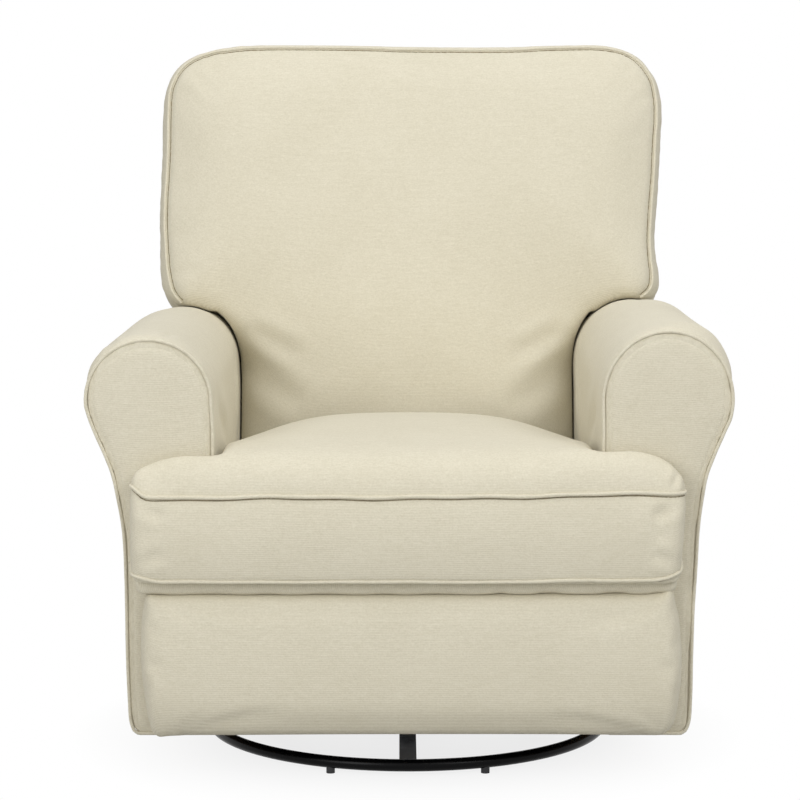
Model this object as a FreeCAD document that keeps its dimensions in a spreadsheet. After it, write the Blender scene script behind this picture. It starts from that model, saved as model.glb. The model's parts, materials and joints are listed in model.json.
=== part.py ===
import FreeCAD, Part
import math
import os
import Sketcher

# Swivel glider recliner for a nursery: a ring base, a swivel bearing, a glider cradle with hanging
# links, an upholstered chair body, a reclining back and a footrest on a folding linkage.
# Millimetres, +Z up, the front faces -Y, the origin is on the floor under the middle of the chair.

DRIVING_SIZES = [
    # base
    ("swivel_axis_y", -90, "swivel axis, front to back"),
    ("ring_radius", 286, "base ring, to the middle of its tube"),
    ("ring_tube_radius", 8.5, "base ring tube"),
    ("glide_height", 7, "floor glide under the ring"),
    ("glide_radius", 6, "floor glide"),
    ("glide_spread_deg", 22, "front and rear floor glides, each way from the middle"),
    ("spoke_width", 24, "flat bars across the ring"),
    ("spoke_thickness", 6, "flat bars across the ring"),
    ("hub_radius", 75, "disc in the middle of the spokes"),
    ("hub_thickness", 6, "disc in the middle of the spokes"),
    # swivel bearing
    ("bearing_radius", 85, "bearing plates"),
    ("bearing_plate_thickness", 5.5, "bearing plates"),
    ("bearing_plate_gap", 3, "between the two bearing plates"),
    ("ball_radius", 4, "bearing balls"),
    ("ball_clearance", 0.05, "ball in its groove"),
    ("ball_circle_radius", 60, "bearing balls, circle of centres"),
    ("ball_count", 24, "bearing balls"),
    ("swivel_bolt_radius", 5, "swivel bolt"),
    ("swivel_bolt_head_radius", 10, "swivel bolt head and nut"),
    ("swivel_bolt_head_height", 6, "swivel bolt head and nut"),
    ("fit_clearance", 0.05, "radial clearance of a pin in its bore"),
    ("seat_gap", 0.3, "between a piece and what carries it"),
    # glider cradle
    ("cradle_plate_width", 330, "cradle floor plate, side to side"),
    ("cradle_plate_depth", 240, "cradle floor plate, front to back"),
    ("sheet_thickness", 4, "steel plates and links"),
    ("layer_gap", 2, "between neighbouring plates and links"),
    ("stand_offset", 150, "inner face of a stand from the middle"),
    ("stand_foot_half", 115, "stand, half its length at the foot"),
    ("stand_flange_width", 26, "stand foot flange"),
    ("swing_pivot_half", 95, "swing link pivots, front and rear of the swivel axis"),
    ("swing_top_z", 230, "upper pivots of the swing links"),
    ("swing_length", 120, "swing links between pivots"),
    ("swing_limit_deg", 30, "swing of the glider links each way"),
    ("swing_eye_radius", 12, "swing link half width"),
    ("swing_pin_radius", 4, "swing link pins"),
    ("open_pivot_clearance", 0.3, "pin in the rear links' lower eye"),
    ("tie_tube_radius", 9, "tube between the two stands"),
    ("tie_tube_z", 200, "tube between the two stands"),
    ("bumper_radius", 6, "rubber glide stops"),
    ("bumper_reach", 60, "glide stop, along the link from its upper pivot"),
    ("lightening_hole_radius", 32, "round hole in a stand"),
    # seat box
    ("arm_inner_x", 262, "inner face of an arm"),
    ("arm_outer_x", 385, "outer face of an arm below its roll"),
    ("overall_half_width", 440, "outermost point of an arm roll"),
    ("arm_top_z", 608, "top of an arm"),
    ("arm_bottom_z", 62, "underside of an arm"),
    ("arm_front_y", -401, "front plane of an arm"),
    ("arm_rear_y", 309, "rear plane of an arm"),
    ("arm_neck_radius", 180, "hollow under the arm roll"),
    ("arm_padding", 14, "foam and cover over the arm frame"),
    ("arm_panel_thickness", 10, "front and rear panel of an arm"),
    ("arm_board", 22, "wooden posts and rails of an arm"),
    ("arm_rail_height", 31, "wooden rail inside the arm roll"),
    ("arm_rail_top_z", 554, "wooden rail inside the arm roll"),
    ("rail_thickness", 13.1, "wooden side rails of the seat box"),
    ("side_rail_front_y", -357, "front end of a side rail"),
    ("side_rail_rear_y", 214, "rear end of a side rail"),
    ("side_rail_bottom_z", 205, "side rail"),
    ("seat_rail_top_z", 287, "top of the wooden seat rails"),
    ("front_rail_bottom_z", 268, "front rail over the footrest"),
    ("front_rail_depth", 26, "front rail"),
    ("front_rail_half", 356, "front rail, half its length"),
    ("rear_rail_y", 54, "front face of the rear rail"),
    ("rear_rail_depth", 25, "rear rail"),
    ("rear_rail_bottom_z", 232, "rear rail"),
    ("cross_rail_width", 30, "steel cross rails"),
    ("cross_rail_height", 16, "steel cross rails"),
    ("cross_rail_wall", 2, "steel cross rails"),
    ("carriage_top_z", 262, "carriage flange under the cross rails"),
    ("carriage_flange", 24, "carriage flange width"),
    ("carriage_half", 118, "carriage plate, half its length"),
    ("spring_wire_radius", 1.75, "zigzag springs"),
    ("spring_loop_radius", 11, "zigzag springs"),
    ("spring_run", 26, "zigzag springs, straight part of a loop"),
    ("seat_spring_pitch", 96, "seat springs, side to side"),
    ("border_depth", 11, "padded border over the front rail"),
    ("border_half", 362, "padded border, half its length"),
    ("border_gap", 2.5, "padded border over the footrest's upper edge"),
    # seat cushion
    ("cushion_edge_z", 402, "upper edge of the cushion border"),
    ("cushion_crown_z", 472, "highest point of the seat cushion"),
    ("cushion_front_y", -456, "front of the seat cushion"),
    ("cushion_ear_half", 370, "seat cushion in front of the arms, half width"),
    ("cushion_rear_y", 79, "rear end of the seat cushion"),
    ("cushion_side_gap", 3, "seat cushion to an arm"),
    ("cushion_corner", 24, "rounding of the cushion's upright corners"),
    ("cushion_ear_rise", 46, "top of the ears above the cushion border"),
    ("cushion_edge_round", 16, "upper edges of the seat cushion"),
    ("cushion_summit_y", -120, "highest point of the seat cushion"),
    ("cushion_dome_radius", 1000, "crown of the seat cushion"),
    # back
    ("recline_y", 174, "recline pivot"),
    ("recline_z", 300, "recline pivot"),
    ("back_lean_deg", 15.5, "lean of the back when it is upright"),
    ("recline_pin_radius", 6, "recline pivot pins"),
    ("recline_eye_radius", 25, "steel round the recline pivot"),
    ("back_half", 388, "half width of the back above the arms"),
    ("back_lower_half", 256, "half width of the back between the arms"),
    ("back_bottom", 31, "lower edge of the back above the pivot"),
    ("back_top", 732, "upper edge of the back above the pivot"),
    ("back_corner", 78, "upper corners of the back"),
    ("back_low_corner", 32, "lower corners of the back"),
    ("back_dome_radius", 3000, "crown of the back cushion, side to side"),
    ("back_edge_round", 16, "front and rear edges of the back"),
    ("back_front_depth", 94, "crown of the back cushion in front of the pivot"),
    ("back_rear_depth", 104, "rear crown of the cover behind the pivot"),
    ("wing_arc_radius", 314, "underside of the back's wide part, about the pivot"),
    ("wing_clearance", 5, "arm top to the wide part of the back"),
    ("back_wall", 12, "padded wall of the rear cover"),
    ("back_board", 22, "wooden frame of the back"),
    ("back_board_width", 40, "wooden frame of the back"),
    ("back_rail_top", 676, "upper edge of the back's top rail above the pivot"),
    ("back_stile_drop", 28, "back stiles, down past the pivot"),
    ("back_post_inset", 10, "back wing posts, in from the cover's room"),
    ("wing_post_bottom", 332, "back wing posts and middle rail above the pivot"),
    ("back_low_rail_bottom", 35, "back's bottom rail above the pivot"),
    ("recline_bracket_half", 20, "recline bracket, half its width at the pivot"),
    ("recline_bracket_neck", 8, "recline bracket, neck above the pivot"),
    ("recline_bracket_width", 35.2, "recline bracket, where it is screwed to its stile"),
    ("recline_bracket_height", 144, "recline bracket, up its stile"),
    ("back_spring_pitch", 96, "back springs, up the back"),
    ("back_spring_count", 6, "back springs"),
    # rear apron
    ("apron_y", 294, "front face of the rear apron"),
    ("apron_thickness", 12, "rear apron"),
    ("apron_bottom_z", 70, "rear apron"),
    ("apron_top_z", 262, "rear apron"),
    # footrest linkage, one side: lower-case letters follow the closed parallelograms
    ("lift_pivot_y", -341, "front pivot on the mechanism plate"),
    ("lift_pivot_z", 248, "front pivot on the mechanism plate"),
    ("link_spread", 62, "between the two pivots on the mechanism plate"),
    ("lift_run", 34, "drive link at rest, rearward between its pivots"),
    ("lift_drop", 145, "drive link at rest, down between its pivots"),
    ("tail_share", 0.283, "drive link beyond its middle pivot, as a part of its length"),
    ("carrier_reach", 80, "carrier link, forward from its elbow"),
    ("carrier_rise", 143, "carrier link, up from its elbow"),
    ("link_half_width", 10, "footrest links"),
    ("rivet_radius", 4, "footrest linkage rivets"),
    ("carrier_tube_radius", 8, "tube between the two carrier links"),
    # footrest
    ("footrest_half", 366, "footrest panel, half width"),
    ("footrest_bottom_z", 65, "footrest panel"),
    ("footrest_top_z", 260, "footrest panel"),
    ("footrest_back_y", -407, "rear face of the footrest board"),
    ("footrest_board_thickness", 12, "footrest board"),
    ("footrest_pad_depth", 26, "footrest pad in front of its board"),
    ("footrest_corner", 26, "corners of the footrest panel"),
    ("footrest_board_inset", 6, "footrest board, in from the top and bottom of its pad"),
    ("footrest_board_side_inset", 24, "footrest board, in from the sides of its pad"),
    ("footrest_dome_radius", 8000, "crown of the footrest pad"),
    ("footrest_edge_round", 9, "front edge of the footrest pad"),
]

doc = FreeCAD.newDocument("glider_chair")
dims = doc.addObject("Spreadsheet::Sheet", "dims")
for row, (alias, value, note) in enumerate(DRIVING_SIZES, start=1):
    dims.set(f"A{row}", alias)
    dims.set(f"B{row}", str(value))
    dims.set(f"C{row}", note)
    dims.setAlias(f"B{row}", alias)
doc.recompute()

parts = []


class Size:
    """A length or angle: its present value, and the sheet expression that it comes from."""

    def __init__(self, value, text):
        self.value = value
        self.text = text

    def joined(self, other, sign, result):
        right = other.text if isinstance(other, Size) else repr(other)
        return Size(result, f"({self.text} {sign} {right})")

    def __add__(self, other):
        return self.joined(other, "+", self.value + plain(other))

    def __sub__(self, other):
        return self.joined(other, "-", self.value - plain(other))

    def __mul__(self, other):
        return self.joined(other, "*", self.value * plain(other))

    def __truediv__(self, other):
        return self.joined(other, "/", self.value / plain(other))

    def __neg__(self):
        return Size(-self.value, f"(0 - {self.text})")


def plain(length):
    """The present value of a size or a number."""
    return length.value if isinstance(length, Size) else float(length)


def sine(angle):
    """The sine of an angle in degrees."""
    return Size(math.sin(math.radians(angle.value)), f"sin({angle.text} * 1deg)")


def cosine(angle):
    """The cosine of an angle in degrees."""
    return Size(math.cos(math.radians(angle.value)), f"cos({angle.text} * 1deg)")


class Sheet:
    """The driving sizes by name, read from the spreadsheet."""

    def __getattr__(self, alias):
        return Size(float(dims.get(alias)), f"dims.{alias}")


S = Sheet()
ZERO = Size(0.0, "0")


def tie(obj, prop, length):
    """Tie one property to a size."""
    if isinstance(length, Size):
        obj.setExpression(prop, length.text)
    else:
        obj.setExpression(prop, repr(float(length)))


def bind(obj, **sizes):
    """Tie properties of an object to sizes."""
    for prop, length in sizes.items():
        tie(obj, prop, length)


def move_to(obj, x, y, z):
    """Tie an object's place to sizes."""
    for axis, length in (("x", x), ("y", y), ("z", z)):
        tie(obj, f"Placement.Base.{axis}", length)


def keep(obj, label):
    """Name a finished sub-part and remember it for export."""
    obj.Label = label
    parts.append(obj)
    return obj

HOLE_OVERRUN = 1.0  # a hole is cut this far past both faces


# ---------------------------------------------------------------- primitives and booleans

TURNS = {
    "X": FreeCAD.Rotation(FreeCAD.Vector(0, 1, 0), 90),
    "Y": FreeCAD.Rotation(FreeCAD.Vector(1, 0, 0), -90),
    "Z": FreeCAD.Rotation(),
}


def block(x, y, z, length, depth, height):
    """A box from its lowest corner."""
    obj = doc.addObject("Part::Box", "block")
    bind(obj, Length=length, Width=depth, Height=height)
    move_to(obj, x, y, z)
    return obj


def rod(x, y, z, radius, length, axis="Z"):
    """A round bar from the middle of its first end."""
    obj = doc.addObject("Part::Cylinder", "rod")
    obj.Placement = FreeCAD.Placement(FreeCAD.Vector(), TURNS[axis])
    bind(obj, Radius=radius, Height=length)
    move_to(obj, x, y, z)
    return obj


def ball(x, y, z, radius):
    """A sphere about its centre."""
    obj = doc.addObject("Part::Sphere", "ball")
    bind(obj, Radius=radius)
    move_to(obj, x, y, z)
    return obj


def ring(x, y, z, radius, tube):
    """A torus lying flat about its centre."""
    obj = doc.addObject("Part::Torus", "ring")
    bind(obj, Radius1=radius, Radius2=tube)
    move_to(obj, x, y, z)
    return obj


def fused(*shapes):
    """Several shapes welded into one."""
    obj = doc.addObject("Part::MultiFuse", "fused")
    obj.Shapes = list(shapes)
    obj.Refine = True
    return obj


def cut(base, *tools):
    """A shape with tools taken out of it."""
    obj = doc.addObject("Part::Cut", "cut")
    obj.Base = base
    obj.Tool = tools[0] if len(tools) == 1 else grouped(*tools)
    return obj


def grouped(*shapes):
    """Separate solids that share one node."""
    obj = doc.addObject("Part::Compound", "group")
    obj.Links = list(shapes)
    return obj


def mirrored(source):
    """The same piece on the other side of the chair."""
    obj = doc.addObject("Part::Mirroring", "mirrored")
    obj.Source = source
    obj.Normal = FreeCAD.Vector(1, 0, 0)
    return obj


def both_sides(source):
    """A piece and its mirror image as one group."""
    return grouped(source, mirrored(source))


def keep_pair(source, label):
    """Keep a right-hand piece and its left-hand mirror as two nodes."""
    keep(source, f"{label}_right")
    keep(mirrored(source), f"{label}_left")


def shaped(shape):
    """A free-form shape that the code has computed from the sheet."""
    obj = doc.addObject("Part::Feature", "shaped")
    obj.Shape = shape
    return obj


# ---------------------------------------------------------------- plates and links cut from sheet

def side_sketch(body, x):
    """A sketch on a plane square to X, at a given x; it draws in (y, z)."""
    sketch = body.newObject("Sketcher::SketchObject", "profile")
    plane = next(f for f in body.Origin.OriginFeatures if f.Role == "YZ_Plane")
    sketch.AttachmentSupport = [(plane, "")]
    sketch.MapMode = "FlatFace"
    tie(sketch, "AttachmentOffset.Base.z", x)
    return sketch


def pin_point(sketch, geometry, position, y, z):
    """Fix one point of a sketch by its two distances from the origin."""
    for kind, length in (("DistanceX", y), ("DistanceY", z)):
        index = sketch.addConstraint(Sketcher.Constraint(kind, -1, 1, geometry, position, plain(length)))
        tie(sketch, f"Constraints[{index}]", length)


def draw_outline(sketch, points):
    """A closed outline of straight edges through named points."""
    corners = [FreeCAD.Vector(plain(y), plain(z), 0) for y, z in points]
    count = len(corners)
    for i in range(count):
        sketch.addGeometry(Part.LineSegment(corners[i], corners[(i + 1) % count]), False)
    for i in range(count):
        sketch.addConstraint(Sketcher.Constraint("Coincident", i, 2, (i + 1) % count, 1))
    for i, (y, z) in enumerate(points):
        pin_point(sketch, i, 1, y, z)


def draw_bar(sketch, start, end, half_width):
    """A bar with round ends between two pivots."""
    first = FreeCAD.Vector(plain(start[0]), plain(start[1]), 0)
    last = FreeCAD.Vector(plain(end[0]), plain(end[1]), 0)
    radius = plain(half_width)
    along = math.atan2(last.y - first.y, last.x - first.x)
    side = FreeCAD.Vector(-math.sin(along), math.cos(along), 0) * radius
    up = FreeCAD.Vector(0, 0, 1)
    quarter = math.pi / 2
    sketch.addGeometry(Part.ArcOfCircle(Part.Circle(first, up, radius), along + quarter, along + 3 * quarter))
    sketch.addGeometry(Part.LineSegment(first - side, last - side))
    sketch.addGeometry(Part.ArcOfCircle(Part.Circle(last, up, radius), along - quarter, along + quarter))
    sketch.addGeometry(Part.LineSegment(last + side, first + side))
    for i in range(4):
        sketch.addConstraint(Sketcher.Constraint("Tangent", i, 2, (i + 1) % 4, 1))
    sketch.addConstraint(Sketcher.Constraint("Equal", 0, 2))
    index = sketch.addConstraint(Sketcher.Constraint("Radius", 0, radius))
    tie(sketch, f"Constraints[{index}]", half_width)
    pin_point(sketch, 0, 3, *start)
    pin_point(sketch, 2, 3, *end)


def draw_hole(sketch, y, z, radius):
    """A round hole at a pivot."""
    centre = FreeCAD.Vector(plain(y), plain(z), 0)
    index = sketch.addGeometry(Part.Circle(centre, FreeCAD.Vector(0, 0, 1), plain(radius)))
    pin_point(sketch, index, 3, y, z)
    limit = sketch.addConstraint(Sketcher.Constraint("Radius", index, plain(radius)))
    tie(sketch, f"Constraints[{limit}]", radius)


def sheet_piece(x, thickness, bars=(), outlines=(), holes=()):
    """A flat piece on a plane square to X: bars and outlines padded, then drilled."""
    body = doc.addObject("PartDesign::Body", "sheet_piece")
    for draw, shapes in ((draw_bar, bars), (draw_outline, outlines)):
        for shape in shapes:
            sketch = side_sketch(body, x)
            draw(sketch, *shape)
            doc.recompute()
            pad = body.newObject("PartDesign::Pad", "pad")
            pad.Profile = sketch
            tie(pad, "Length", thickness)
            doc.recompute()
    if holes:
        whole = body.Shape.Volume
        sketch = side_sketch(body, x - HOLE_OVERRUN)
        for hole in holes:
            draw_hole(sketch, *hole)
        doc.recompute()
        pocket = body.newObject("PartDesign::Pocket", "holes")
        pocket.Profile = sketch
        pocket.Reversed = True
        tie(pocket, "Length", thickness + HOLE_OVERRUN * 2)
        doc.recompute()
        if body.Shape.Volume >= whole:
            raise RuntimeError("the holes of a sheet piece cut nothing")
    return body


# ---------------------------------------------------------------- free-form outlines

def chain(*edges):
    """Edges joined into one closed wire."""
    return Part.Wire([edge.toShape() for edge in edges])


def arc_about(cx, cz, radius, start, end, y):
    """An arc in the plane at y, from one angle to another in degrees."""
    points = []
    for degrees in (start, (start + end) / 2, end):
        turn = math.radians(degrees)
        points.append(FreeCAD.Vector(cx + radius * math.cos(turn), y, cz + radius * math.sin(turn)))
    return Part.Arc(*points)


def rounded_panel(y, half, bottom, top, low_radius, high_radius):
    """A panel outline in the plane at y, with round corners."""
    low = FreeCAD.Vector
    right_low = arc_about(half - low_radius, bottom + low_radius, low_radius, -90, 0, y)
    right_high = arc_about(half - high_radius, top - high_radius, high_radius, 0, 90, y)
    left_high = arc_about(high_radius - half, top - high_radius, high_radius, 90, 180, y)
    left_low = arc_about(low_radius - half, bottom + low_radius, low_radius, 180, 270, y)
    return chain(
        Part.LineSegment(low(low_radius - half, y, bottom), low(half - low_radius, y, bottom)),
        right_low,
        Part.LineSegment(low(half, y, bottom + low_radius), low(half, y, top - high_radius)),
        right_high,
        Part.LineSegment(low(half - high_radius, y, top), low(high_radius - half, y, top)),
        left_high,
        Part.LineSegment(low(-half, y, top - high_radius), low(-half, y, bottom + low_radius)),
        left_low,
    )


def domed(solid, summit, radius, rounding):
    """A padded block under a wide dome whose summit is given, with its front edge rounded."""
    facing = 1 if summit.y > 0 else -1
    dome = Part.makeSphere(radius, FreeCAD.Vector(summit.x, summit.y - facing * radius, summit.z))
    block_under = solid.common(dome)
    edges = []
    for face in block_under.Faces:
        if isinstance(face.Surface, Part.Sphere):
            edges.extend(face.Edges)
    return block_under.makeFillet(rounding, edges)


def pillow(half, bottom, top, low_radius, high_radius, start, run):
    """A rounded panel drawn through its depth from the plane at start."""
    outline = rounded_panel(start, half, bottom, top, low_radius, high_radius)
    return Part.Face(outline).extrude(FreeCAD.Vector(0, run, 0))


# ---------------------------------------------------------------- base

def polar(radius, degrees):
    """A point on a circle about the swivel axis."""
    turn = math.radians(degrees)
    return radius * math.cos(turn), S.swivel_axis_y + radius * math.sin(turn)


ring_z = S.glide_height + S.ring_tube_radius
spoke_z = ring_z - S.spoke_thickness / 2
hub_z = spoke_z + S.spoke_thickness
lower_plate_z = hub_z + S.hub_thickness
ball_z = lower_plate_z + S.bearing_plate_thickness + S.bearing_plate_gap / 2
upper_plate_z = lower_plate_z + S.bearing_plate_thickness + S.bearing_plate_gap
cradle_z = upper_plate_z + S.bearing_plate_thickness
stand_z = cradle_z + S.sheet_thickness
bolt_bore = S.swivel_bolt_radius + S.fit_clearance


def on_axis(z, radius, height):
    """A disc or bar about the swivel axis."""
    return rod(ZERO, S.swivel_axis_y, z, radius, height)


def build_base():
    """Ring, crossed spokes with their hub, glides, lower bearing plate, balls and bolt."""
    keep(ring(ZERO, S.swivel_axis_y, ring_z, S.ring_radius, S.ring_tube_radius), "base_ring")
    reach = S.ring_radius - S.ring_tube_radius - S.seat_gap
    half = S.spoke_width / 2
    across = block(-reach, S.swivel_axis_y - half, spoke_z, reach * 2, S.spoke_width, S.spoke_thickness)
    along = block(-half, S.swivel_axis_y - reach, spoke_z, S.spoke_width, reach * 2, S.spoke_thickness)
    hub = on_axis(hub_z, S.hub_radius, S.hub_thickness)
    bore = on_axis(spoke_z - 1, bolt_bore, S.spoke_thickness + S.hub_thickness + 2)
    keep(cut(fused(across, along, hub), bore), "base_spokes")

    glides = []
    spread = plain(S.glide_spread_deg)
    for angle in (0, 90 - spread, 90 + spread, 180, 270 - spread, 270 + spread):
        x, y = polar(S.ring_radius, angle)
        # the pad's top is hollowed to cradle the round tube
        pad = rod(x, y, ZERO, S.glide_radius, S.glide_height + S.ring_tube_radius / 3)
        tube = ring(ZERO, S.swivel_axis_y, ring_z, S.ring_radius, S.ring_tube_radius + S.fit_clearance)
        glides.append(cut(pad, tube))
    keep(grouped(*glides), "floor_glides")

    groove = ring(ZERO, S.swivel_axis_y, ball_z, S.ball_circle_radius, S.ball_radius + S.ball_clearance)
    disc = on_axis(lower_plate_z, S.bearing_radius, S.bearing_plate_thickness)
    bore = on_axis(lower_plate_z - 1, bolt_bore, S.bearing_plate_thickness + 2)
    keep(cut(disc, groove, bore), "swivel_lower_plate")

    balls = []
    count = round(plain(S.ball_count))
    for k in range(count):
        x, y = polar(S.ball_circle_radius, 360 / count * k)
        balls.append(ball(x, y, ball_z, S.ball_radius))
    keep(grouped(*balls), "swivel_balls")

    head = on_axis(spoke_z - S.swivel_bolt_head_height, S.swivel_bolt_head_radius, S.swivel_bolt_head_height)
    nut_z = stand_z + S.seat_gap
    shank = on_axis(spoke_z - 1, S.swivel_bolt_radius, nut_z + S.swivel_bolt_head_height - spoke_z + 3)
    nut = on_axis(nut_z, S.swivel_bolt_head_radius, S.swivel_bolt_head_height)
    keep(fused(head, shank, nut), "swivel_bolt")


# ---------------------------------------------------------------- glider cradle

stand_x = S.stand_offset
swing_x = stand_x + S.sheet_thickness + S.layer_gap
carriage_x = swing_x + S.sheet_thickness + S.layer_gap
swing_low_z = S.swing_top_z - S.swing_length
swing_front_y = S.swivel_axis_y - S.swing_pivot_half
swing_rear_y = S.swivel_axis_y + S.swing_pivot_half
pin_bore = S.swing_pin_radius + S.fit_clearance
pin_stub = 0.4  # a pin stands this far out of the last plate that it holds


def build_cradle():
    """The turning plate with the two stands that the chair hangs from."""
    disc = on_axis(upper_plate_z, S.bearing_radius, S.bearing_plate_thickness)
    floor = block(
        -S.cradle_plate_width / 2, S.swivel_axis_y - S.cradle_plate_depth / 2, cradle_z,
        S.cradle_plate_width, S.cradle_plate_depth, S.sheet_thickness,
    )
    groove = ring(ZERO, S.swivel_axis_y, ball_z, S.ball_circle_radius, S.ball_radius + S.ball_clearance)
    bore = on_axis(upper_plate_z - 1, bolt_bore, S.bearing_plate_thickness + S.sheet_thickness + 2)
    keep(cut(fused(disc, floor), groove, bore), "swivel_upper_plate")

    foot = S.stand_foot_half
    shoulder = S.swing_top_z - S.swing_eye_radius
    plate = sheet_piece(
        stand_x, S.sheet_thickness,
        bars=[((swing_front_y, S.swing_top_z), (swing_rear_y, S.swing_top_z), S.swing_eye_radius)],
        outlines=[([
            (S.swivel_axis_y - foot, stand_z),
            (S.swivel_axis_y + foot, stand_z),
            (swing_rear_y + S.swing_eye_radius / 2, shoulder + S.swing_eye_radius),
            (swing_front_y - S.swing_eye_radius / 2, shoulder + S.swing_eye_radius),
        ],)],
        holes=[
            (swing_front_y, S.swing_top_z, pin_bore),
            (swing_rear_y, S.swing_top_z, pin_bore),
            (S.swivel_axis_y, stand_z + S.stand_foot_half / 2, S.lightening_hole_radius),
        ],
    )
    flange = block(
        stand_x - S.stand_flange_width, S.swivel_axis_y - foot, stand_z,
        S.stand_flange_width, foot * 2, S.sheet_thickness,
    )
    keep_pair(fused(plate, flange), "glider_stand")
    keep(rod(-stand_x, S.swivel_axis_y, S.tie_tube_z, S.tie_tube_radius, stand_x * 2, "X"), "stand_tie_tube")

    pin_length = S.sheet_thickness * 2 + S.layer_gap + pin_stub
    pins = [rod(stand_x, y, S.swing_top_z, S.swing_pin_radius, pin_length, "X")
            for y in (swing_front_y, swing_rear_y)]
    keep(both_sides(grouped(*pins)), "swing_upper_pins")

    # each stop lies just beyond the edge of a link at the end of its swing towards the middle
    swing = S.swing_limit_deg
    stand_off = S.swing_eye_radius + S.bumper_radius + S.layer_gap
    run = sine(swing) * plain(S.bumper_reach) + cosine(swing) * plain(stand_off)
    drop = cosine(swing) * plain(S.bumper_reach) - sine(swing) * plain(stand_off)
    stops = []
    for place in (swing_front_y + run, swing_rear_y - run):
        stops.append(rod(
            stand_x + S.sheet_thickness, place, S.swing_top_z - drop,
            S.bumper_radius, S.layer_gap + S.sheet_thickness, "X",
        ))
    keep(both_sides(grouped(*stops)), "glide_stops")


def swing_link(y, low_bore):
    """One hanging link with its two bores."""
    return sheet_piece(
        swing_x, S.sheet_thickness,
        bars=[((y, S.swing_top_z), (y, swing_low_z), S.swing_eye_radius)],
        holes=[(y, S.swing_top_z, pin_bore), (y, swing_low_z, low_bore)],
    )


def build_swing_links():
    """The four hanging links; the rear pair's lower eyes close the parallelogram."""
    keep(both_sides(swing_link(swing_front_y, pin_bore)), "front_swing_links")
    open_bore = S.swing_pin_radius + S.open_pivot_clearance
    keep(both_sides(swing_link(swing_rear_y, open_bore)), "rear_swing_links")


def build_carriage():
    """The plates that hang on the links and carry the seat box on their flanges."""
    eye = S.swing_eye_radius
    low = swing_low_z - eye
    half = S.carriage_half
    plate = sheet_piece(
        carriage_x, S.sheet_thickness,
        outlines=[([
            (swing_front_y - eye, low),
            (swing_rear_y + eye, low),
            (S.swivel_axis_y + half, low + eye * 2),
            (S.swivel_axis_y + half, S.carriage_top_z),
            (S.swivel_axis_y - half, S.carriage_top_z),
            (S.swivel_axis_y - half, low + eye * 2),
        ],)],
        holes=[(swing_front_y, swing_low_z, pin_bore), (swing_rear_y, swing_low_z, pin_bore)],
    )
    flange = block(
        carriage_x + S.sheet_thickness, S.swivel_axis_y - half, S.carriage_top_z - S.sheet_thickness,
        S.carriage_flange, half * 2, S.sheet_thickness,
    )
    keep_pair(fused(plate, flange), "carriage_plate")

    pin_length = S.sheet_thickness * 2 + S.layer_gap + pin_stub
    pins = [rod(swing_x - pin_stub, y, swing_low_z, S.swing_pin_radius, pin_length, "X")
            for y in (swing_front_y, swing_rear_y)]
    keep(both_sides(grouped(*pins)), "swing_lower_pins")


# ---------------------------------------------------------------- seat box

rail_x = S.arm_inner_x - S.seat_gap - S.rail_thickness
plate_x = rail_x - S.seat_gap - S.sheet_thickness
bracket_x = plate_x - S.seat_gap - S.sheet_thickness
seat_deck_z = S.seat_rail_top_z + S.spring_wire_radius * 2 + S.seat_gap * 2


def zigzag_path(length, loop_radius, run):
    """Corners of a zigzag wire along +Y, side to side in X: pieces of line and arc from y = 0."""
    least_lead = 6.0
    loops = int((length - 2 * loop_radius - 2 * least_lead) / (2 * loop_radius))
    lead = (length - 2 * loop_radius * (loops + 1)) / 2
    swing = loop_radius + run / 2
    bend = loop_radius * math.sqrt(0.5)
    point = FreeCAD.Vector
    edges = [Part.LineSegment(point(0, 0, 0), point(0, lead, 0))]
    edges.append(Part.Arc(
        point(0, lead, 0),
        point(loop_radius - bend, lead + bend, 0),
        point(loop_radius, lead + loop_radius, 0),
    ))
    y = lead + loop_radius
    side = 1
    start = loop_radius
    for _ in range(loops):
        edges.append(Part.LineSegment(point(start, y, 0), point(side * swing, y, 0)))
        edges.append(Part.Arc(
            point(side * swing, y, 0),
            point(side * (swing + loop_radius), y + loop_radius, 0),
            point(side * swing, y + 2 * loop_radius, 0),
        ))
        start = side * swing
        y += 2 * loop_radius
        side = -side
    edges.append(Part.LineSegment(point(start, y, 0), point(-side * loop_radius, y, 0)))
    edges.append(Part.Arc(
        point(-side * loop_radius, y, 0),
        point(-side * (loop_radius - bend), y + loop_radius - bend, 0),
        point(0, y + loop_radius, 0),
    ))
    edges.append(Part.LineSegment(point(0, y + loop_radius, 0), point(0, length, 0)))
    return Part.Wire([edge.toShape() for edge in edges])


def zigzag_spring(length):
    """A zigzag wire spring along +Y from the origin."""
    path = zigzag_path(plain(length), plain(S.spring_loop_radius), plain(S.spring_run))
    section = Part.Circle(FreeCAD.Vector(), FreeCAD.Vector(0, 1, 0), plain(S.spring_wire_radius))
    return path.makePipe(Part.Face(Part.Wire([section.toShape()])))


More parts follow.
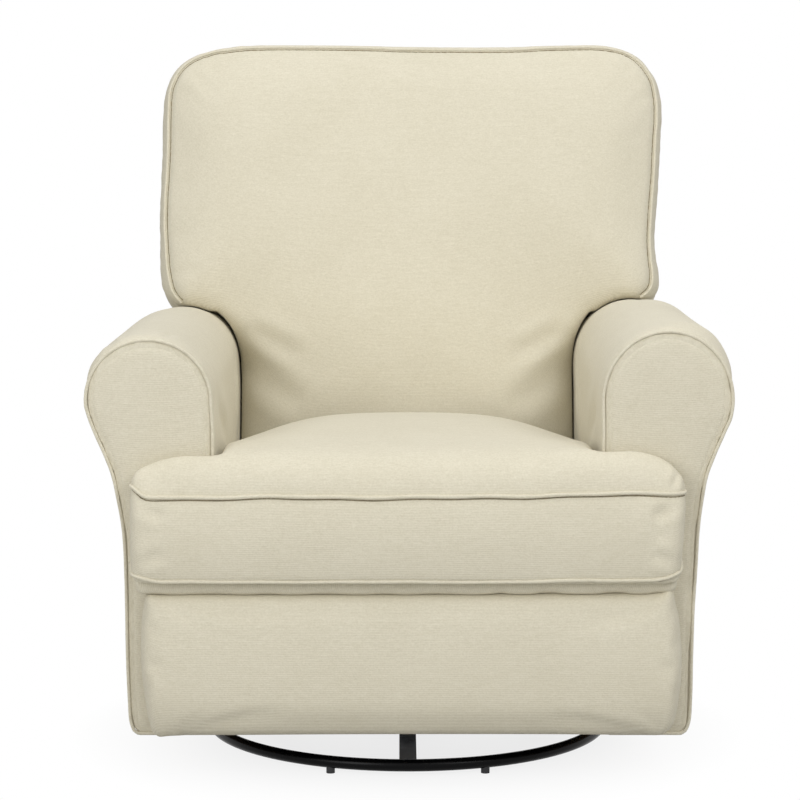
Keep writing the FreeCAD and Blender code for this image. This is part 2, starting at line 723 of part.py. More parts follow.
def build_seat_box():
    """Wooden rails, steel mechanism plates and the springs that the cushion lies on."""
    side_rail = block(
        rail_x, S.side_rail_front_y, S.side_rail_bottom_z,
        S.rail_thickness, S.side_rail_rear_y - S.side_rail_front_y, S.seat_rail_top_z - S.side_rail_bottom_z,
    )
    keep(both_sides(side_rail), "seat_side_rails")
    front_rail_y = S.arm_front_y - S.seat_gap - S.front_rail_depth
    keep(block(
        -S.front_rail_half, front_rail_y, S.front_rail_bottom_z,
        S.front_rail_half * 2, S.front_rail_depth, S.seat_rail_top_z - S.front_rail_bottom_z,
    ), "seat_front_rail")
    keep(block(
        -plate_x, S.rear_rail_y, S.rear_rail_bottom_z,
        plate_x * 2, S.rear_rail_depth, S.seat_rail_top_z - S.rear_rail_bottom_z,
    ), "seat_rear_rail")

    border_low = S.footrest_top_z + S.border_gap
    border = block(
        -S.border_half, front_rail_y - S.border_depth, border_low,
        S.border_half * 2, S.border_depth, seat_deck_z - S.seat_gap - border_low,
    )
    keep(border, "front_border")

    cross_half = plate_x - S.seat_gap
    wall = S.cross_rail_wall
    for label, y in (("front_cross_rail", swing_front_y), ("rear_cross_rail", swing_rear_y)):
        outer = block(
            -cross_half, y - S.cross_rail_width / 2, S.carriage_top_z + S.seat_gap,
            cross_half * 2, S.cross_rail_width, S.cross_rail_height,
        )
        bore = block(
            -cross_half - 1, y - S.cross_rail_width / 2 + wall, S.carriage_top_z + S.seat_gap + wall,
            cross_half * 2 + 2, S.cross_rail_width - wall * 2, S.cross_rail_height - wall * 2,
        )
        keep(cut(outer, bore), label)

    spring_start = front_rail_y + S.front_rail_depth / 2
    spring_end = S.rear_rail_y + S.rear_rail_depth - 4
    spring = zigzag_spring(spring_end - spring_start)
    springs = []
    for k in range(-2, 3):
        copy = shaped(spring)
        move_to(copy, S.seat_spring_pitch * k, spring_start, seat_deck_z - S.seat_gap - S.spring_wire_radius)
        springs.append(copy)
    keep(grouped(*springs), "seat_springs")

    eye = S.recline_eye_radius
    low = S.lift_pivot_z - S.recline_eye_radius * 1.3
    high = S.carriage_top_z + S.cross_rail_height
    nose = S.lift_pivot_y - S.link_half_width - S.rivet_radius
    rivet_bore = S.rivet_radius + S.fit_clearance
    plate = sheet_piece(
        plate_x, S.sheet_thickness,
        bars=[((S.recline_y, S.recline_z), (S.recline_y, low + eye * 1.5), eye)],
        outlines=[([
            (nose, S.lift_pivot_z - S.link_half_width),
            (S.lift_pivot_y + eye, low),
            (S.recline_y + eye, low),
            (S.recline_y + eye, high),
            (S.lift_pivot_y + eye, high),
            (nose, S.lift_pivot_z + S.link_half_width),
        ],)],
        holes=[
            (S.recline_y, S.recline_z, S.recline_pin_radius + S.fit_clearance),
            (S.lift_pivot_y, S.lift_pivot_z, rivet_bore),
            (S.lift_pivot_y + S.link_spread, S.lift_pivot_z, rivet_bore),
        ],
    )
    keep_pair(plate, "mechanism_plate")
    pin_x = bracket_x + S.seat_gap
    pin = rod(pin_x, S.recline_y, S.recline_z, S.recline_pin_radius, plate_x + S.sheet_thickness - pin_x, "X")
    keep(both_sides(pin), "recline_pins")


# ---------------------------------------------------------------- arms

def arm_profile(inset, y, bottom):
    """The arm seen from the front: straight inside, a roll on top and a hollow neck under it."""
    inner = plain(S.arm_inner_x) + inset
    outer = plain(S.arm_outer_x) - inset
    roll = (plain(S.overall_half_width) - plain(S.arm_inner_x)) / 2
    middle_x = plain(S.arm_inner_x) + roll
    middle_z = plain(S.arm_top_z) - roll
    neck = plain(S.arm_neck_radius) + inset
    radius = roll - inset
    neck_x = outer + neck
    reach = neck_x - middle_x
    neck_z = middle_z - math.sqrt((radius + neck) ** 2 - reach ** 2)
    lean = math.degrees(math.atan2(neck_z - middle_z, reach))
    point = FreeCAD.Vector
    return chain(
        Part.LineSegment(point(inner, y, bottom), point(inner, y, middle_z)),
        arc_about(middle_x, middle_z, radius, 180, 90, y),
        arc_about(middle_x, middle_z, radius, 90, 0, y),
        arc_about(middle_x, middle_z, radius, 0, lean, y),
        arc_about(neck_x, neck_z, neck, lean + 180, 180, y),
        Part.LineSegment(point(outer, y, neck_z), point(outer, y, bottom)),
        Part.LineSegment(point(outer, y, bottom), point(inner, y, bottom)),
    )


def arm_slab(inset, y, depth, bottom):
    """A length of the arm's profile along Y."""
    face = Part.Face(arm_profile(inset, plain(y), plain(bottom)))
    return face.extrude(FreeCAD.Vector(0, plain(depth), 0))


def behind_arc(radius):
    """What lies above and behind an arc about the recline pivot."""
    far = plain(S.overall_half_width) * 2
    y = plain(S.recline_y)
    z = plain(S.recline_z)
    corner = Part.makeBox(far, far, far, FreeCAD.Vector(0, y, z))
    drum = Part.makeCylinder(radius, far, FreeCAD.Vector(0, y, z), FreeCAD.Vector(1, 0, 0))
    return corner.cut(drum)


def build_arms():
    """Each arm: a wooden frame in a padded cover, with a panel at either end."""
    thickness = plain(S.arm_panel_thickness)
    padding = plain(S.arm_padding)
    gap = plain(S.seat_gap)
    bottom = plain(S.arm_bottom_z)
    front = plain(S.arm_front_y)
    rear = plain(S.arm_rear_y)
    arc = plain(S.wing_arc_radius) - plain(S.wing_clearance)
    length = rear - front - 2 * thickness

    outside = arm_slab(0, front + thickness, length, bottom)
    inside = arm_slab(padding, front, rear - front, bottom - padding)
    inside = inside.cut(behind_arc(arc - padding))
    cover = outside.cut(inside).cut(behind_arc(arc))
    keep_pair(shaped(cover), "arm_cover")

    keep_pair(shaped(arm_slab(0, front, thickness, bottom)), "arm_front_panel")
    rear_panel = arm_slab(0, rear - thickness, thickness, bottom).cut(behind_arc(arc))
    keep(both_sides(shaped(rear_panel)), "arm_rear_panels")

    board = plain(S.arm_board)
    inset = padding + gap
    front_post = arm_slab(inset, front + thickness, board, bottom + gap)
    rear_post = arm_slab(inset, rear - thickness - board, board, bottom + gap)
    rear_post = rear_post.cut(behind_arc(arc - inset))
    rail_y = front + thickness + board
    rail_length = rear - thickness - board - rail_y
    middle = (plain(S.arm_inner_x) + plain(S.overall_half_width)) / 2
    rail_height = plain(S.arm_rail_height)
    top_rail = Part.makeBox(
        board * 2, rail_length, rail_height,
        FreeCAD.Vector(middle - board, rail_y, plain(S.arm_rail_top_z) - rail_height),
    )
    low_rail = Part.makeBox(
        plain(S.arm_outer_x) - plain(S.arm_inner_x) - 2 * inset, rail_length, board,
        FreeCAD.Vector(plain(S.arm_inner_x) + inset, rail_y, bottom + gap),
    )
    frame = front_post.fuse([rear_post, top_rail, low_rail])
    keep_pair(shaped(frame), "arm_frame")


# ---------------------------------------------------------------- seat cushion

def level_pillow(half, front, rear, low, high, corner):
    """A rounded slab lying level: its upright corners are rounded."""
    slab = Part.makeBox(half * 2, rear - front, high - low, FreeCAD.Vector(-half, front, low))
    upright = [edge for edge in slab.Edges if edge.tangentAt(edge.FirstParameter).z ** 2 > 0.5]
    return slab.makeFillet(corner, upright)


def build_seat_cushion():
    """One T-shaped cushion: a crowned part between the arms and two ears in front of them."""
    low = plain(seat_deck_z)
    edge = plain(S.cushion_edge_z)
    crown = plain(S.cushion_crown_z)
    front = plain(S.cushion_front_y)
    rear = plain(S.cushion_rear_y)
    half = plain(S.arm_inner_x) - plain(S.cushion_side_gap)
    ear_rear = plain(S.arm_front_y) - plain(S.cushion_side_gap)
    corner = plain(S.cushion_corner)
    rounding = plain(S.cushion_edge_round)

    main = level_pillow(half, front, rear, low, crown * 1.5, corner)
    dome_radius = plain(S.cushion_dome_radius)
    summit_y = plain(S.cushion_summit_y)
    dome = Part.makeSphere(dome_radius, FreeCAD.Vector(0, summit_y, crown - dome_radius))
    main = main.common(dome)
    top_edges = []
    for face in main.Faces:
        if isinstance(face.Surface, Part.Sphere):
            top_edges.extend(face.Edges)
    main = main.makeFillet(rounding, top_edges)

    ear_top = edge + plain(S.cushion_ear_rise)
    bar = level_pillow(plain(S.cushion_ear_half), front, ear_rear, low, ear_top, corner)
    rims = [rim for rim in bar.Edges if rim.BoundBox.ZMin > ear_top - 1]
    bar = bar.makeFillet(rounding, rims)
    keep(shaped(main.fuse(bar)), "seat_cushion")


# ---------------------------------------------------------------- back, drawn upright about its pivot

back_rear_of_pad = -(S.spring_wire_radius * 2 + S.seat_gap * 2)


def leaning(label, *pieces):
    """A sub-part of the back: its pieces lean together about the recline pivot."""
    obj = grouped(*pieces)
    lean = plain(S.back_lean_deg)
    obj.Placement = FreeCAD.Placement(FreeCAD.Vector(), FreeCAD.Rotation(FreeCAD.Vector(-1, 0, 0), lean))
    move_to(obj, ZERO, S.recline_y, S.recline_z)
    obj.setExpression("Placement.Rotation.Angle", f"{S.back_lean_deg.text} * 1deg")
    return keep(obj, label)


def wing_gap(radius, from_x):
    """The drums under the wide part of the back, one each side, about the recline pivot."""
    reach = plain(S.overall_half_width) * 2
    axis = FreeCAD.Vector(1, 0, 0)
    right = Part.makeCylinder(radius, reach, FreeCAD.Vector(from_x, 0, 0), axis)
    left = Part.makeCylinder(radius, reach, FreeCAD.Vector(-from_x - reach, 0, 0), axis)
    return right.fuse(left)


def back_form(inset, start, run):
    """The form of the back: wide above the arms, narrow between them, each side drawn in by inset."""
    half = plain(S.back_half) - inset
    lower_half = plain(S.back_lower_half) - inset
    bottom = plain(S.back_bottom) + inset
    top = plain(S.back_top) - inset
    corner = plain(S.back_corner) - inset
    low_corner = plain(S.back_low_corner) - inset
    clear = plain(S.wing_arc_radius) + inset
    form = pillow(half, bottom, top, low_corner, corner, start, run)
    return form.cut(wing_gap(clear, lower_half))


def build_back_upholstery():
    """The front cushion, and the padded shell that closes the frame in from behind."""
    front = plain(S.back_front_depth)
    rear = plain(back_rear_of_pad)
    middle = (plain(S.back_bottom) + plain(S.back_top)) / 2
    dome = plain(S.back_dome_radius)
    rounding = plain(S.back_edge_round)
    cushion = back_form(0, rear, -front * 2)
    summit = FreeCAD.Vector(0, -front, middle)
    leaning("back_cushion", shaped(domed(cushion, summit, dome, rounding)))

    depth = plain(S.back_rear_depth)
    wall = plain(S.back_wall)
    start = rear + plain(S.seat_gap)
    shell = domed(back_form(0, start, depth * 2), FreeCAD.Vector(0, depth, middle), dome * 2, rounding)
    # the room for the frame opens forward onto the cushion
    room = back_form(wall, start - wall, depth - wall * 3 - start)
    # the posts and brackets reach down through the open front part of the cover's lower edge
    open_half = plain(S.back_lower_half) - wall
    passage = Part.makeBox(
        open_half * 2, plain(S.back_board) * 2 + wall, plain(S.back_bottom) + wall * 2,
        FreeCAD.Vector(-open_half, start - wall, 0),
    )
    leaning("back_rear_cover", shaped(shell.cut(room).cut(passage)))


def build_back_frame():
    """Posts and rails of the back, its springs and the steel brackets at the pivot."""
    board = S.back_board
    width = S.back_board_width
    rail_half = S.back_half - S.back_wall - S.seat_gap
    top_rail_top = S.back_rail_top
    stile_bottom = -S.back_stile_drop
    stile = block(bracket_x - width, ZERO, stile_bottom, width, board, top_rail_top - stile_bottom)
    leaning("back_stile_right", stile)
    leaning("back_stile_left", mirrored(stile))

    wing_low = S.wing_post_bottom
    post_half = rail_half - S.back_post_inset
    post = block(post_half - width, ZERO, wing_low, width, board, top_rail_top - wing_low)
    leaning("back_wing_posts", post, mirrored(post))

    top = block(-post_half, board, top_rail_top - width, post_half * 2, board, width)
    leaning("back_top_rail", top)
    middle = block(-post_half, board, wing_low, post_half * 2, board, width)
    leaning("back_middle_rail", middle)
    low_half = bracket_x - width
    low = block(-low_half, ZERO, S.back_low_rail_bottom, low_half * 2, board, width)
    leaning("back_bottom_rail", low)

    span = bracket_x * 2 - width
    wire = zigzag_spring(span)
    wire.rotate(FreeCAD.Vector(), FreeCAD.Vector(0, 0, 1), -90)
    wire.rotate(FreeCAD.Vector(), FreeCAD.Vector(1, 0, 0), 90)
    springs = []
    for k in range(round(plain(S.back_spring_count))):
        copy = shaped(wire)
        move_to(copy, -(span / 2), -(S.spring_wire_radius + S.seat_gap), S.back_spring_pitch * (k + 1))
        springs.append(copy)
    leaning("back_springs", *springs)

    eye = S.recline_bracket_half
    bracket = sheet_piece(
        bracket_x, S.sheet_thickness,
        bars=[((ZERO, ZERO), (ZERO, S.recline_bracket_neck), eye)],
        outlines=[([
            (-S.spring_wire_radius, ZERO), (S.recline_bracket_width, ZERO),
            (S.recline_bracket_width, S.recline_bracket_height),
            (-S.spring_wire_radius, S.recline_bracket_height),
        ],)],
        holes=[(ZERO, ZERO, S.recline_pin_radius + S.fit_clearance)],
    )
    leaning("recline_brackets", bracket, mirrored(bracket))


# ---------------------------------------------------------------- footrest

def layer(index):
    """The x of a link layer, counted inward from the mechanism plate."""
    return plate_x - (S.sheet_thickness + S.layer_gap) * float(index)


def shifted(point, run, rise):
    """A pivot moved by a run to the rear and a rise."""
    return (point[0] + run, point[1] + rise)


lift_pivot = (S.lift_pivot_y, S.lift_pivot_z)
rear_pivot = shifted(lift_pivot, S.link_spread, ZERO)
elbow = shifted(lift_pivot, S.lift_run, -S.lift_drop)
rear_elbow = shifted(elbow, S.link_spread, ZERO)
tail = shifted(elbow, S.lift_run * S.tail_share, -(S.lift_drop * S.tail_share))
carrier_end = shifted(elbow, -S.carrier_reach, S.carrier_rise)
front_end = shifted(tail, -S.carrier_reach, S.carrier_rise)


def rivets(*places):
    """Rivets at pivots: each from one layer's outer face to another's inner face."""
    pins = []
    for (y, z), outer, inner in places:
        start = layer(inner)
        pins.append(rod(start, y, z, S.rivet_radius, layer(outer) + S.sheet_thickness - start, "X"))
    return both_sides(grouped(*pins))


def build_footrest_linkage():
    """Four links a side in two joined parallelograms, with their rivets and cross tube."""
    half = S.link_half_width
    bore = S.rivet_radius + S.fit_clearance
    open_bore = S.rivet_radius + S.open_pivot_clearance
    drive = sheet_piece(
        layer(1), S.sheet_thickness, bars=[(lift_pivot, tail, half)],
        holes=[(*lift_pivot, bore), (*elbow, bore), (*tail, bore)],
    )
    keep(both_sides(drive), "footrest_drive_links")
    rear = sheet_piece(
        layer(3), S.sheet_thickness, bars=[(rear_pivot, rear_elbow, half)],
        holes=[(*rear_pivot, bore), (*rear_elbow, bore)],
    )
    keep(both_sides(rear), "footrest_rear_links")
    carrier = sheet_piece(
        layer(2), S.sheet_thickness, bars=[(rear_elbow, elbow, half), (elbow, carrier_end, half)],
        holes=[(*rear_elbow, open_bore), (*elbow, bore), (*carrier_end, bore)],
    )
    keep(both_sides(carrier), "footrest_carrier_links")
    front = sheet_piece(
        layer(0), S.sheet_thickness, bars=[(tail, front_end, half)],
        holes=[(*tail, bore), (*front_end, open_bore)],
    )
    keep(both_sides(front), "footrest_front_links")

    keep(rivets((lift_pivot, 0, 1), (rear_pivot, 0, 3)), "footrest_mount_rivets")
    keep(rivets((elbow, 1, 2), (tail, 0, 1)), "drive_link_rivets")
    keep(rivets((rear_elbow, 2, 3)), "rear_link_rivets")
    keep(rivets((carrier_end, 1, 2)), "carrier_link_rivets")
    keep(rivets((front_end, 0, 1)), "footrest_bracket_rivets")

    tube_y, tube_z = shifted(elbow, -S.carrier_reach / 2, S.carrier_rise / 2)
    tube_end = layer(2)
    keep(rod(-tube_end, tube_y, tube_z, S.carrier_tube_radius, tube_end * 2, "X"), "carrier_cross_tube")


def build_footrest():
    """Brackets, board and pad of the footrest."""
    half = S.link_half_width
    bore = S.rivet_radius + S.fit_clearance
    back = S.footrest_back_y
    bracket = sheet_piece(
        layer(1), S.sheet_thickness, bars=[(carrier_end, front_end, half)],
        outlines=[([
            (back, carrier_end[1] + half), (carrier_end[0], carrier_end[1] + half),
            (front_end[0], front_end[1] - half), (back, front_end[1] - half),
        ],)],
        holes=[(*carrier_end, bore), (*front_end, bore)],
    )
    flange_height = carrier_end[1] - front_end[1] + half * 2
    flange = block(
        layer(1) - S.stand_flange_width, back, front_end[1] - half,
        S.stand_flange_width, S.sheet_thickness, flange_height,
    )
    keep(both_sides(fused(bracket, flange)), "footrest_brackets")

    edge = plain(S.footrest_board_inset)
    side = plain(S.footrest_board_side_inset)
    thickness = plain(S.footrest_board_thickness)
    front = plain(back) - thickness
    half = plain(S.footrest_half)
    bottom = plain(S.footrest_bottom_z)
    top = plain(S.footrest_top_z)
    corner = plain(S.footrest_corner)
    board = pillow(half - side, bottom + edge, top - edge, corner - edge, corner - edge, front, thickness)
    keep(shaped(board), "footrest_board")
    depth = plain(S.footrest_pad_depth)
    pad = pillow(half, bottom, top, corner, corner, front, -depth * 2)
    summit = FreeCAD.Vector(0, front - depth, (bottom + top) / 2)
    dome = plain(S.footrest_dome_radius)
    keep(shaped(domed(pad, summit, dome, plain(S.footrest_edge_round))), "footrest_pad")


def build_rear_apron():
    """The upholstered board between the arms under the back."""
    half = S.arm_inner_x - S.seat_gap
    keep(block(
        -half, S.apron_y, S.apron_bottom_z,
        half * 2, S.apron_thickness, S.apron_top_z - S.apron_bottom_z,
    ), "rear_apron")


def export():
    """Check every object and write each sub-part to its own STEP file."""
    doc.recompute()
    for obj in doc.Objects:
        if {"Invalid", "Error"} & set(obj.State):
            raise RuntimeError(f"{obj.Label} did not recompute: {obj.State}")
    os.makedirs("parts", exist_ok=True)
    for obj in parts:
        shape = obj.Shape
        if shape.isNull() or not shape.isValid() or not shape.Solids:
            raise RuntimeError(f"{obj.Label} has no valid solid")
        shape.exportStep(os.path.join("parts", f"{obj.Label}.step"))
        box = shape.BoundBox
        print(f"{obj.Label:26s} solids {len(shape.Solids):3d}  "
              f"x {box.XMin:7.1f} {box.XMax:7.1f}  y {box.YMin:7.1f} {box.YMax:7.1f}  "
              f"z {box.ZMin:7.1f} {box.ZMax:7.1f}")
    print(len(parts), "sub-parts")


build_base()
build_cradle()
build_swing_links()
build_carriage()
build_seat_box()
build_arms()
build_seat_cushion()
build_back_frame()
build_back_upholstery()
build_footrest_linkage()
build_footrest()
build_rear_apron()
export()
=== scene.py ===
"""Looks of an upholstered glider recliner: soft goods, welts, steel base and a pale studio."""

import json
import logging
import math
from abc import ABC, abstractmethod
from dataclasses import dataclass, field, replace
from enum import Enum
from typing import Iterable, Sequence

import bmesh
import bpy
import numpy as np
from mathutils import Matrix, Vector
from mathutils.bvhtree import BVHTree

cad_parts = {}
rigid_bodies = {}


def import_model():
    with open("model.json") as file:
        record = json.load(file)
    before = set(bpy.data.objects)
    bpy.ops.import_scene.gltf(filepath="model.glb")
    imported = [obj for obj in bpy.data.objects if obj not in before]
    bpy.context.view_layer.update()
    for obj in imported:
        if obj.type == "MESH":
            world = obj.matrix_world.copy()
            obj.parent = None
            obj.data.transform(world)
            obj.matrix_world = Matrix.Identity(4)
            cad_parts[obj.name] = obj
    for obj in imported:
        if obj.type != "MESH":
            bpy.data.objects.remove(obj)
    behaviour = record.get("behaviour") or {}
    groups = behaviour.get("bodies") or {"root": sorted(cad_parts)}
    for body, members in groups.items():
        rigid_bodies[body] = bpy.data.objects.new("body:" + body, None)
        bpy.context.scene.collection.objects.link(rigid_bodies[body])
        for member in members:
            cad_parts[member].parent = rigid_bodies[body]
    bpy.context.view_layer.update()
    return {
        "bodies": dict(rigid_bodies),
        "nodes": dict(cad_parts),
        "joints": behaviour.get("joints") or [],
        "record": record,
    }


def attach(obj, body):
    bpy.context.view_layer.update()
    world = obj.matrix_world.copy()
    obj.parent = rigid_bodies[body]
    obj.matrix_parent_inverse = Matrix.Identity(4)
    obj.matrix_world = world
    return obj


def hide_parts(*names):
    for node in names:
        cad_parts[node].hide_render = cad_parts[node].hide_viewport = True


LOG = logging.getLogger("glider_recliner")

Point2 = tuple[float, float]
Array = np.ndarray


# ---------------------------------------------------------------- colours and nodes


def srgb(code: str) -> tuple[float, float, float, float]:
    """Turn an sRGB hex colour into linear RGBA.

    Args:
        code: six hex digits, such as "E2DCC6".

    Returns:
        The linear colour with an alpha of 1.
    """
    channels = [int(code[k:k + 2], 16) / 255 for k in (0, 2, 4)]
    linear = [c / 12.92 if c <= 0.04045 else ((c + 0.055) / 1.055) ** 2.4 for c in channels]
    return (linear[0], linear[1], linear[2], 1.0)


class NodeTree:
    """A material's or modifier's node tree that grows one node at a time."""

    def __init__(self, tree: bpy.types.NodeTree) -> None:
        """Start on an empty tree.

        Args:
            tree: the tree to fill; what it holds is removed.
        """
        self.tree = tree
        self.tree.nodes.clear()

    def add(self, kind: str, inputs: dict | None = None, out: int | str = 0, **settings: object
            ) -> bpy.types.NodeSocket | None:
        """Add a node, set it and link it.

        Args:
            kind: the node's Blender type name.
            inputs: socket name or number to a value, or to the output socket that feeds it.
            out: name or number of the output that is wanted.
            **settings: properties of the node itself.

        Returns:
            The wanted output socket, or nothing where the node has none.
        """
        node = self.tree.nodes.new(kind)
        for key, value in settings.items():
            setattr(node, key, value)
        for key, value in (inputs or {}).items():
            if isinstance(value, bpy.types.NodeSocket):
                self.tree.links.new(value, node.inputs[key])
            else:
                node.inputs[key].default_value = value
        return node.outputs[out] if len(node.outputs) else None


class Grain(Enum):
    """Which way the long slubs of the cloth lie on a piece: along the axes whose share is 1."""

    ACROSS = (1.0, 9.0, 9.0)
    AROUND = (1.0, 9.0, 1.0)
    UPRIGHT = (9.0, 9.0, 1.0)

    @property
    def ribs(self) -> tuple[float, float, float]:
        """The directions in which the ribs follow each other, across the threads."""
        return tuple(0.0 if share == 1.0 else 1.0 for share in self.value)


class Finish(ABC):
    """A finish that can dress any piece. It is named for its process and its first colour."""

    process: str
    base: str

    @abstractmethod
    def shade(self, nodes: NodeTree) -> bpy.types.NodeSocket:
        """Build the shader.

        Args:
            nodes: the material's tree.

        Returns:
            The surface shader's socket.
        """

    @property
    def label(self) -> str:
        """The material's name."""
        return f"{self.process} {self.base.lower()}"

    def material(self) -> bpy.types.Material:
        """The Blender material of this finish, made once and shared."""
        known = bpy.data.materials.get(self.label)
        if known is not None:
            return known
        made = bpy.data.materials.new(self.label)
        made.use_nodes = True
        nodes = NodeTree(made.node_tree)
        nodes.add("ShaderNodeOutputMaterial", {"Surface": self.shade(nodes)})
        return made

    def dress(self, piece: bpy.types.Object) -> None:
        """Put the finish on every face of a piece.

        Args:
            piece: a mesh object.
        """
        material = self.material()
        if not piece.material_slots:
            piece.data.materials.append(material)
        for place in piece.material_slots:
            place.material = material


@dataclass(frozen=True)
class LinenWeave(Finish):
    """Woven polyester linen: matt, slubby threads that catch the light along one direction."""

    grain: Grain = Grain.ACROSS
    base: str = "E2DCC9"
    shade_tone: str = "C2BAA1"
    # thread spacing is about 0.9 mm; it is drawn at 2.4 mm, the finest that still shows
    thread: float = 0.0024
    # slubs are thick places in the thread, 20 to 30 mm long
    slub: float = 0.026
    # broad uneven shading of the dyed cloth
    mottle: float = 0.11
    # ribs stand 1.2 mm apart; they are drawn at twice that
    rib: float = 0.0025
    bump_height: float = 0.0009
    # how much darker the gaps between the threads and the broad patches are
    gap_shade: float = 0.60
    patch_shade: float = 0.07

    @property
    def process(self) -> str:
        """The cloth, and which way its slubs lie."""
        return f"woven linen {self.grain.name.lower()}"

    def shade(self, nodes: NodeTree) -> bpy.types.NodeSocket:
        """Weave, slubs and soft mottling on a rough cloth with a little sheen.

        Args:
            nodes: the material's tree.

        Returns:
            The surface shader's socket.
        """
        place = nodes.add("ShaderNodeTexCoord", out="Object")
        stretch, across = (
            nodes.add("ShaderNodeVectorMath", {0: place, 1: shares}, operation="MULTIPLY")
            for shares in (self.grain.value, self.grain.ribs)
        )
        slubs, threads, knots, clouds = (
            nodes.add("ShaderNodeTexNoise", {
                "Vector": vector, "Scale": scale, "Detail": detail, "Roughness": rough,
            })
            for vector, scale, detail, rough in (
                (stretch, 1 / self.slub, 3.0, 0.62),
                (stretch, 1 / (self.thread * 9.0) * 3.2, 2.0, 0.55),
                (place, 1 / self.thread, 1.0, 0.5),
                (place, 1 / self.mottle, 2.0, 0.5),
            )
        )
        ribs = nodes.add("ShaderNodeTexWave", {
            "Vector": across, "Scale": 0.628 / self.rib, "Distortion": 3.0, "Detail": 1.0,
            "Detail Scale": 0.12,
        }, out="Fac", bands_direction="DIAGONAL")
        height: bpy.types.NodeSocket | float = 0.0
        for share, source in ((0.64, threads), (0.48, knots), (0.22, ribs), (0.32, slubs)):
            height = nodes.add(
                "ShaderNodeMath", {0: source, 1: share, 2: height}, operation="MULTIPLY_ADD"
            )
        tone = nodes.add("ShaderNodeMapRange", {0: height, 1: 0.58, 2: 1.10, 3: 0.0, 4: 1.0})
        gaps = nodes.add("ShaderNodeMapRange", {0: tone, 1: 0.0, 2: 1.0, 3: self.gap_shade, 4: 0.0})
        cloud = nodes.add("ShaderNodeMapRange", {
            0: clouds, 1: 0.35, 2: 0.65, 3: 0.0, 4: self.patch_shade,
        })
        dark = nodes.add("ShaderNodeMath", {0: gaps, 1: cloud}, operation="ADD")
        colour = nodes.add("ShaderNodeMix", {
            "Factor": dark, 6: srgb(self.base), 7: srgb(self.shade_tone),
        }, out=2, data_type="RGBA")
        relief = nodes.add("ShaderNodeBump", {
            "Height": height, "Strength": 0.35, "Distance": self.bump_height,
        })
        return nodes.add("ShaderNodeBsdfPrincipled", {
            "Base Color": colour, "Roughness": 0.92, "IOR": 1.46, "Specular IOR Level": 0.25,
            "Sheen Weight": 0.12, "Sheen Roughness": 0.5, "Normal": relief,
        })


@dataclass(frozen=True)
class PaintedSeamShadow(Finish):
    """A thin dark tube laid beside a welted seam: painted shade that stands for the shadowed gap next to the
    cord.
    """

    process: str = "painted seam shade"
    # the painted shade's dark tone, and a lighter one along its twist
    base: str = "786E58"
    lit_tone: str = "948A70"
    # the painted shade's tone changes about every 1 mm, as a thread's twist would
    twist: float = 0.001

    def shade(self, nodes: NodeTree) -> bpy.types.NodeSocket:
        """A matt dark painted seam shadow, with a thread's twist in its colour.

        Args:
            nodes: the material's tree.

        Returns:
            The surface shader's socket.
        """
        place = nodes.add("ShaderNodeTexCoord", out="Object")
        twist = nodes.add("ShaderNodeTexNoise", {
            "Vector": place, "Scale": 0.5 / self.twist, "Detail": 2.0,
        })
        tone = nodes.add("ShaderNodeMapRange", {0: twist, 1: 0.35, 2: 0.65, 3: 0.0, 4: 1.0})
        colour = nodes.add("ShaderNodeMix", {
            "Factor": tone, 6: srgb(self.base), 7: srgb(self.lit_tone),
        }, out=2, data_type="RGBA")
        return nodes.add("ShaderNodeBsdfPrincipled", {
            "Base Color": colour, "Roughness": 0.9, "IOR": 1.46, "Specular IOR Level": 0.2,
        })


@dataclass(frozen=True)
class HardSkin(Finish):
    """A rigid finish: a fine relief in the skin, over broad changes of gloss."""

    process: str
    base: str
    roughness: float
    # size of the relief's grain in metres, how rich it is, and how strong and deep it is
    grain: float
    detail: float
    strength: float
    depth: float
    # how many changes of gloss go on a metre, how rich they are, and how far the roughness swings
    stains: float
    stain_detail: float
    swing: tuple[float, float]
    # less than 1 along an axis draws the relief out into lines that way
    drawn: tuple[float, float, float] = (1.0, 1.0, 1.0)
    metallic: float = 0.0
    ior: float = 1.5
    specular: float = 0.5

    def shade(self, nodes: NodeTree) -> bpy.types.NodeSocket:
        """A skin with its relief in the bump and its stains in the roughness.

        Args:
            nodes: the material's tree.

        Returns:
            The surface shader's socket.
        """
        place = nodes.add("ShaderNodeTexCoord", out="Object")
        stretch = nodes.add("ShaderNodeVectorMath", {0: place, 1: self.drawn}, operation="MULTIPLY")
        grain, stains = (
            nodes.add("ShaderNodeTexNoise", {"Vector": vector, "Scale": scale, "Detail": detail})
            for vector, scale, detail in (
                (stretch, 1 / self.grain, self.detail), (place, self.stains, self.stain_detail),
            )
        )
        low, high = (self.roughness * share for share in self.swing)
        rough = nodes.add("ShaderNodeMapRange", {0: stains, 1: 0.3, 2: 0.7, 3: low, 4: high})
        relief = nodes.add("ShaderNodeBump", {
            "Height": grain, "Strength": self.strength, "Distance": self.depth,
        })
        return nodes.add("ShaderNodeBsdfPrincipled", {
            "Base Color": srgb(self.base), "Metallic": self.metallic, "Roughness": rough, "IOR": self.ior,
            "Specular IOR Level": self.specular, "Normal": relief,
        })


# gloss black powder coat on steel: a smooth skin with a faint orange peel, in waves of about 3 mm
GLOSS_COAT = HardSkin(
    "powder-coated steel", "040405", 0.24, grain=0.003, detail=1.0, strength=0.12, depth=0.0002,
    stains=18.0, stain_detail=4.0, swing=(0.8, 1.35), specular=0.10,
)
# the same coat, thinner and duller, on the hidden ironwork
DULL_COAT = replace(GLOSS_COAT, base="1A1A1B", roughness=0.42)
# zinc-plated or oiled steel: a dull metal with fine drawn lines 1.2 mm apart and soft stains
PLATED_STEEL = HardSkin(
    "plated steel", "B4B6B8", 0.38, grain=0.0012, detail=2.0, strength=0.1, depth=0.0001,
    stains=30.0, stain_detail=5.0, swing=(0.8, 1.3), drawn=(0.08, 1.0, 1.0), metallic=1.0,
)
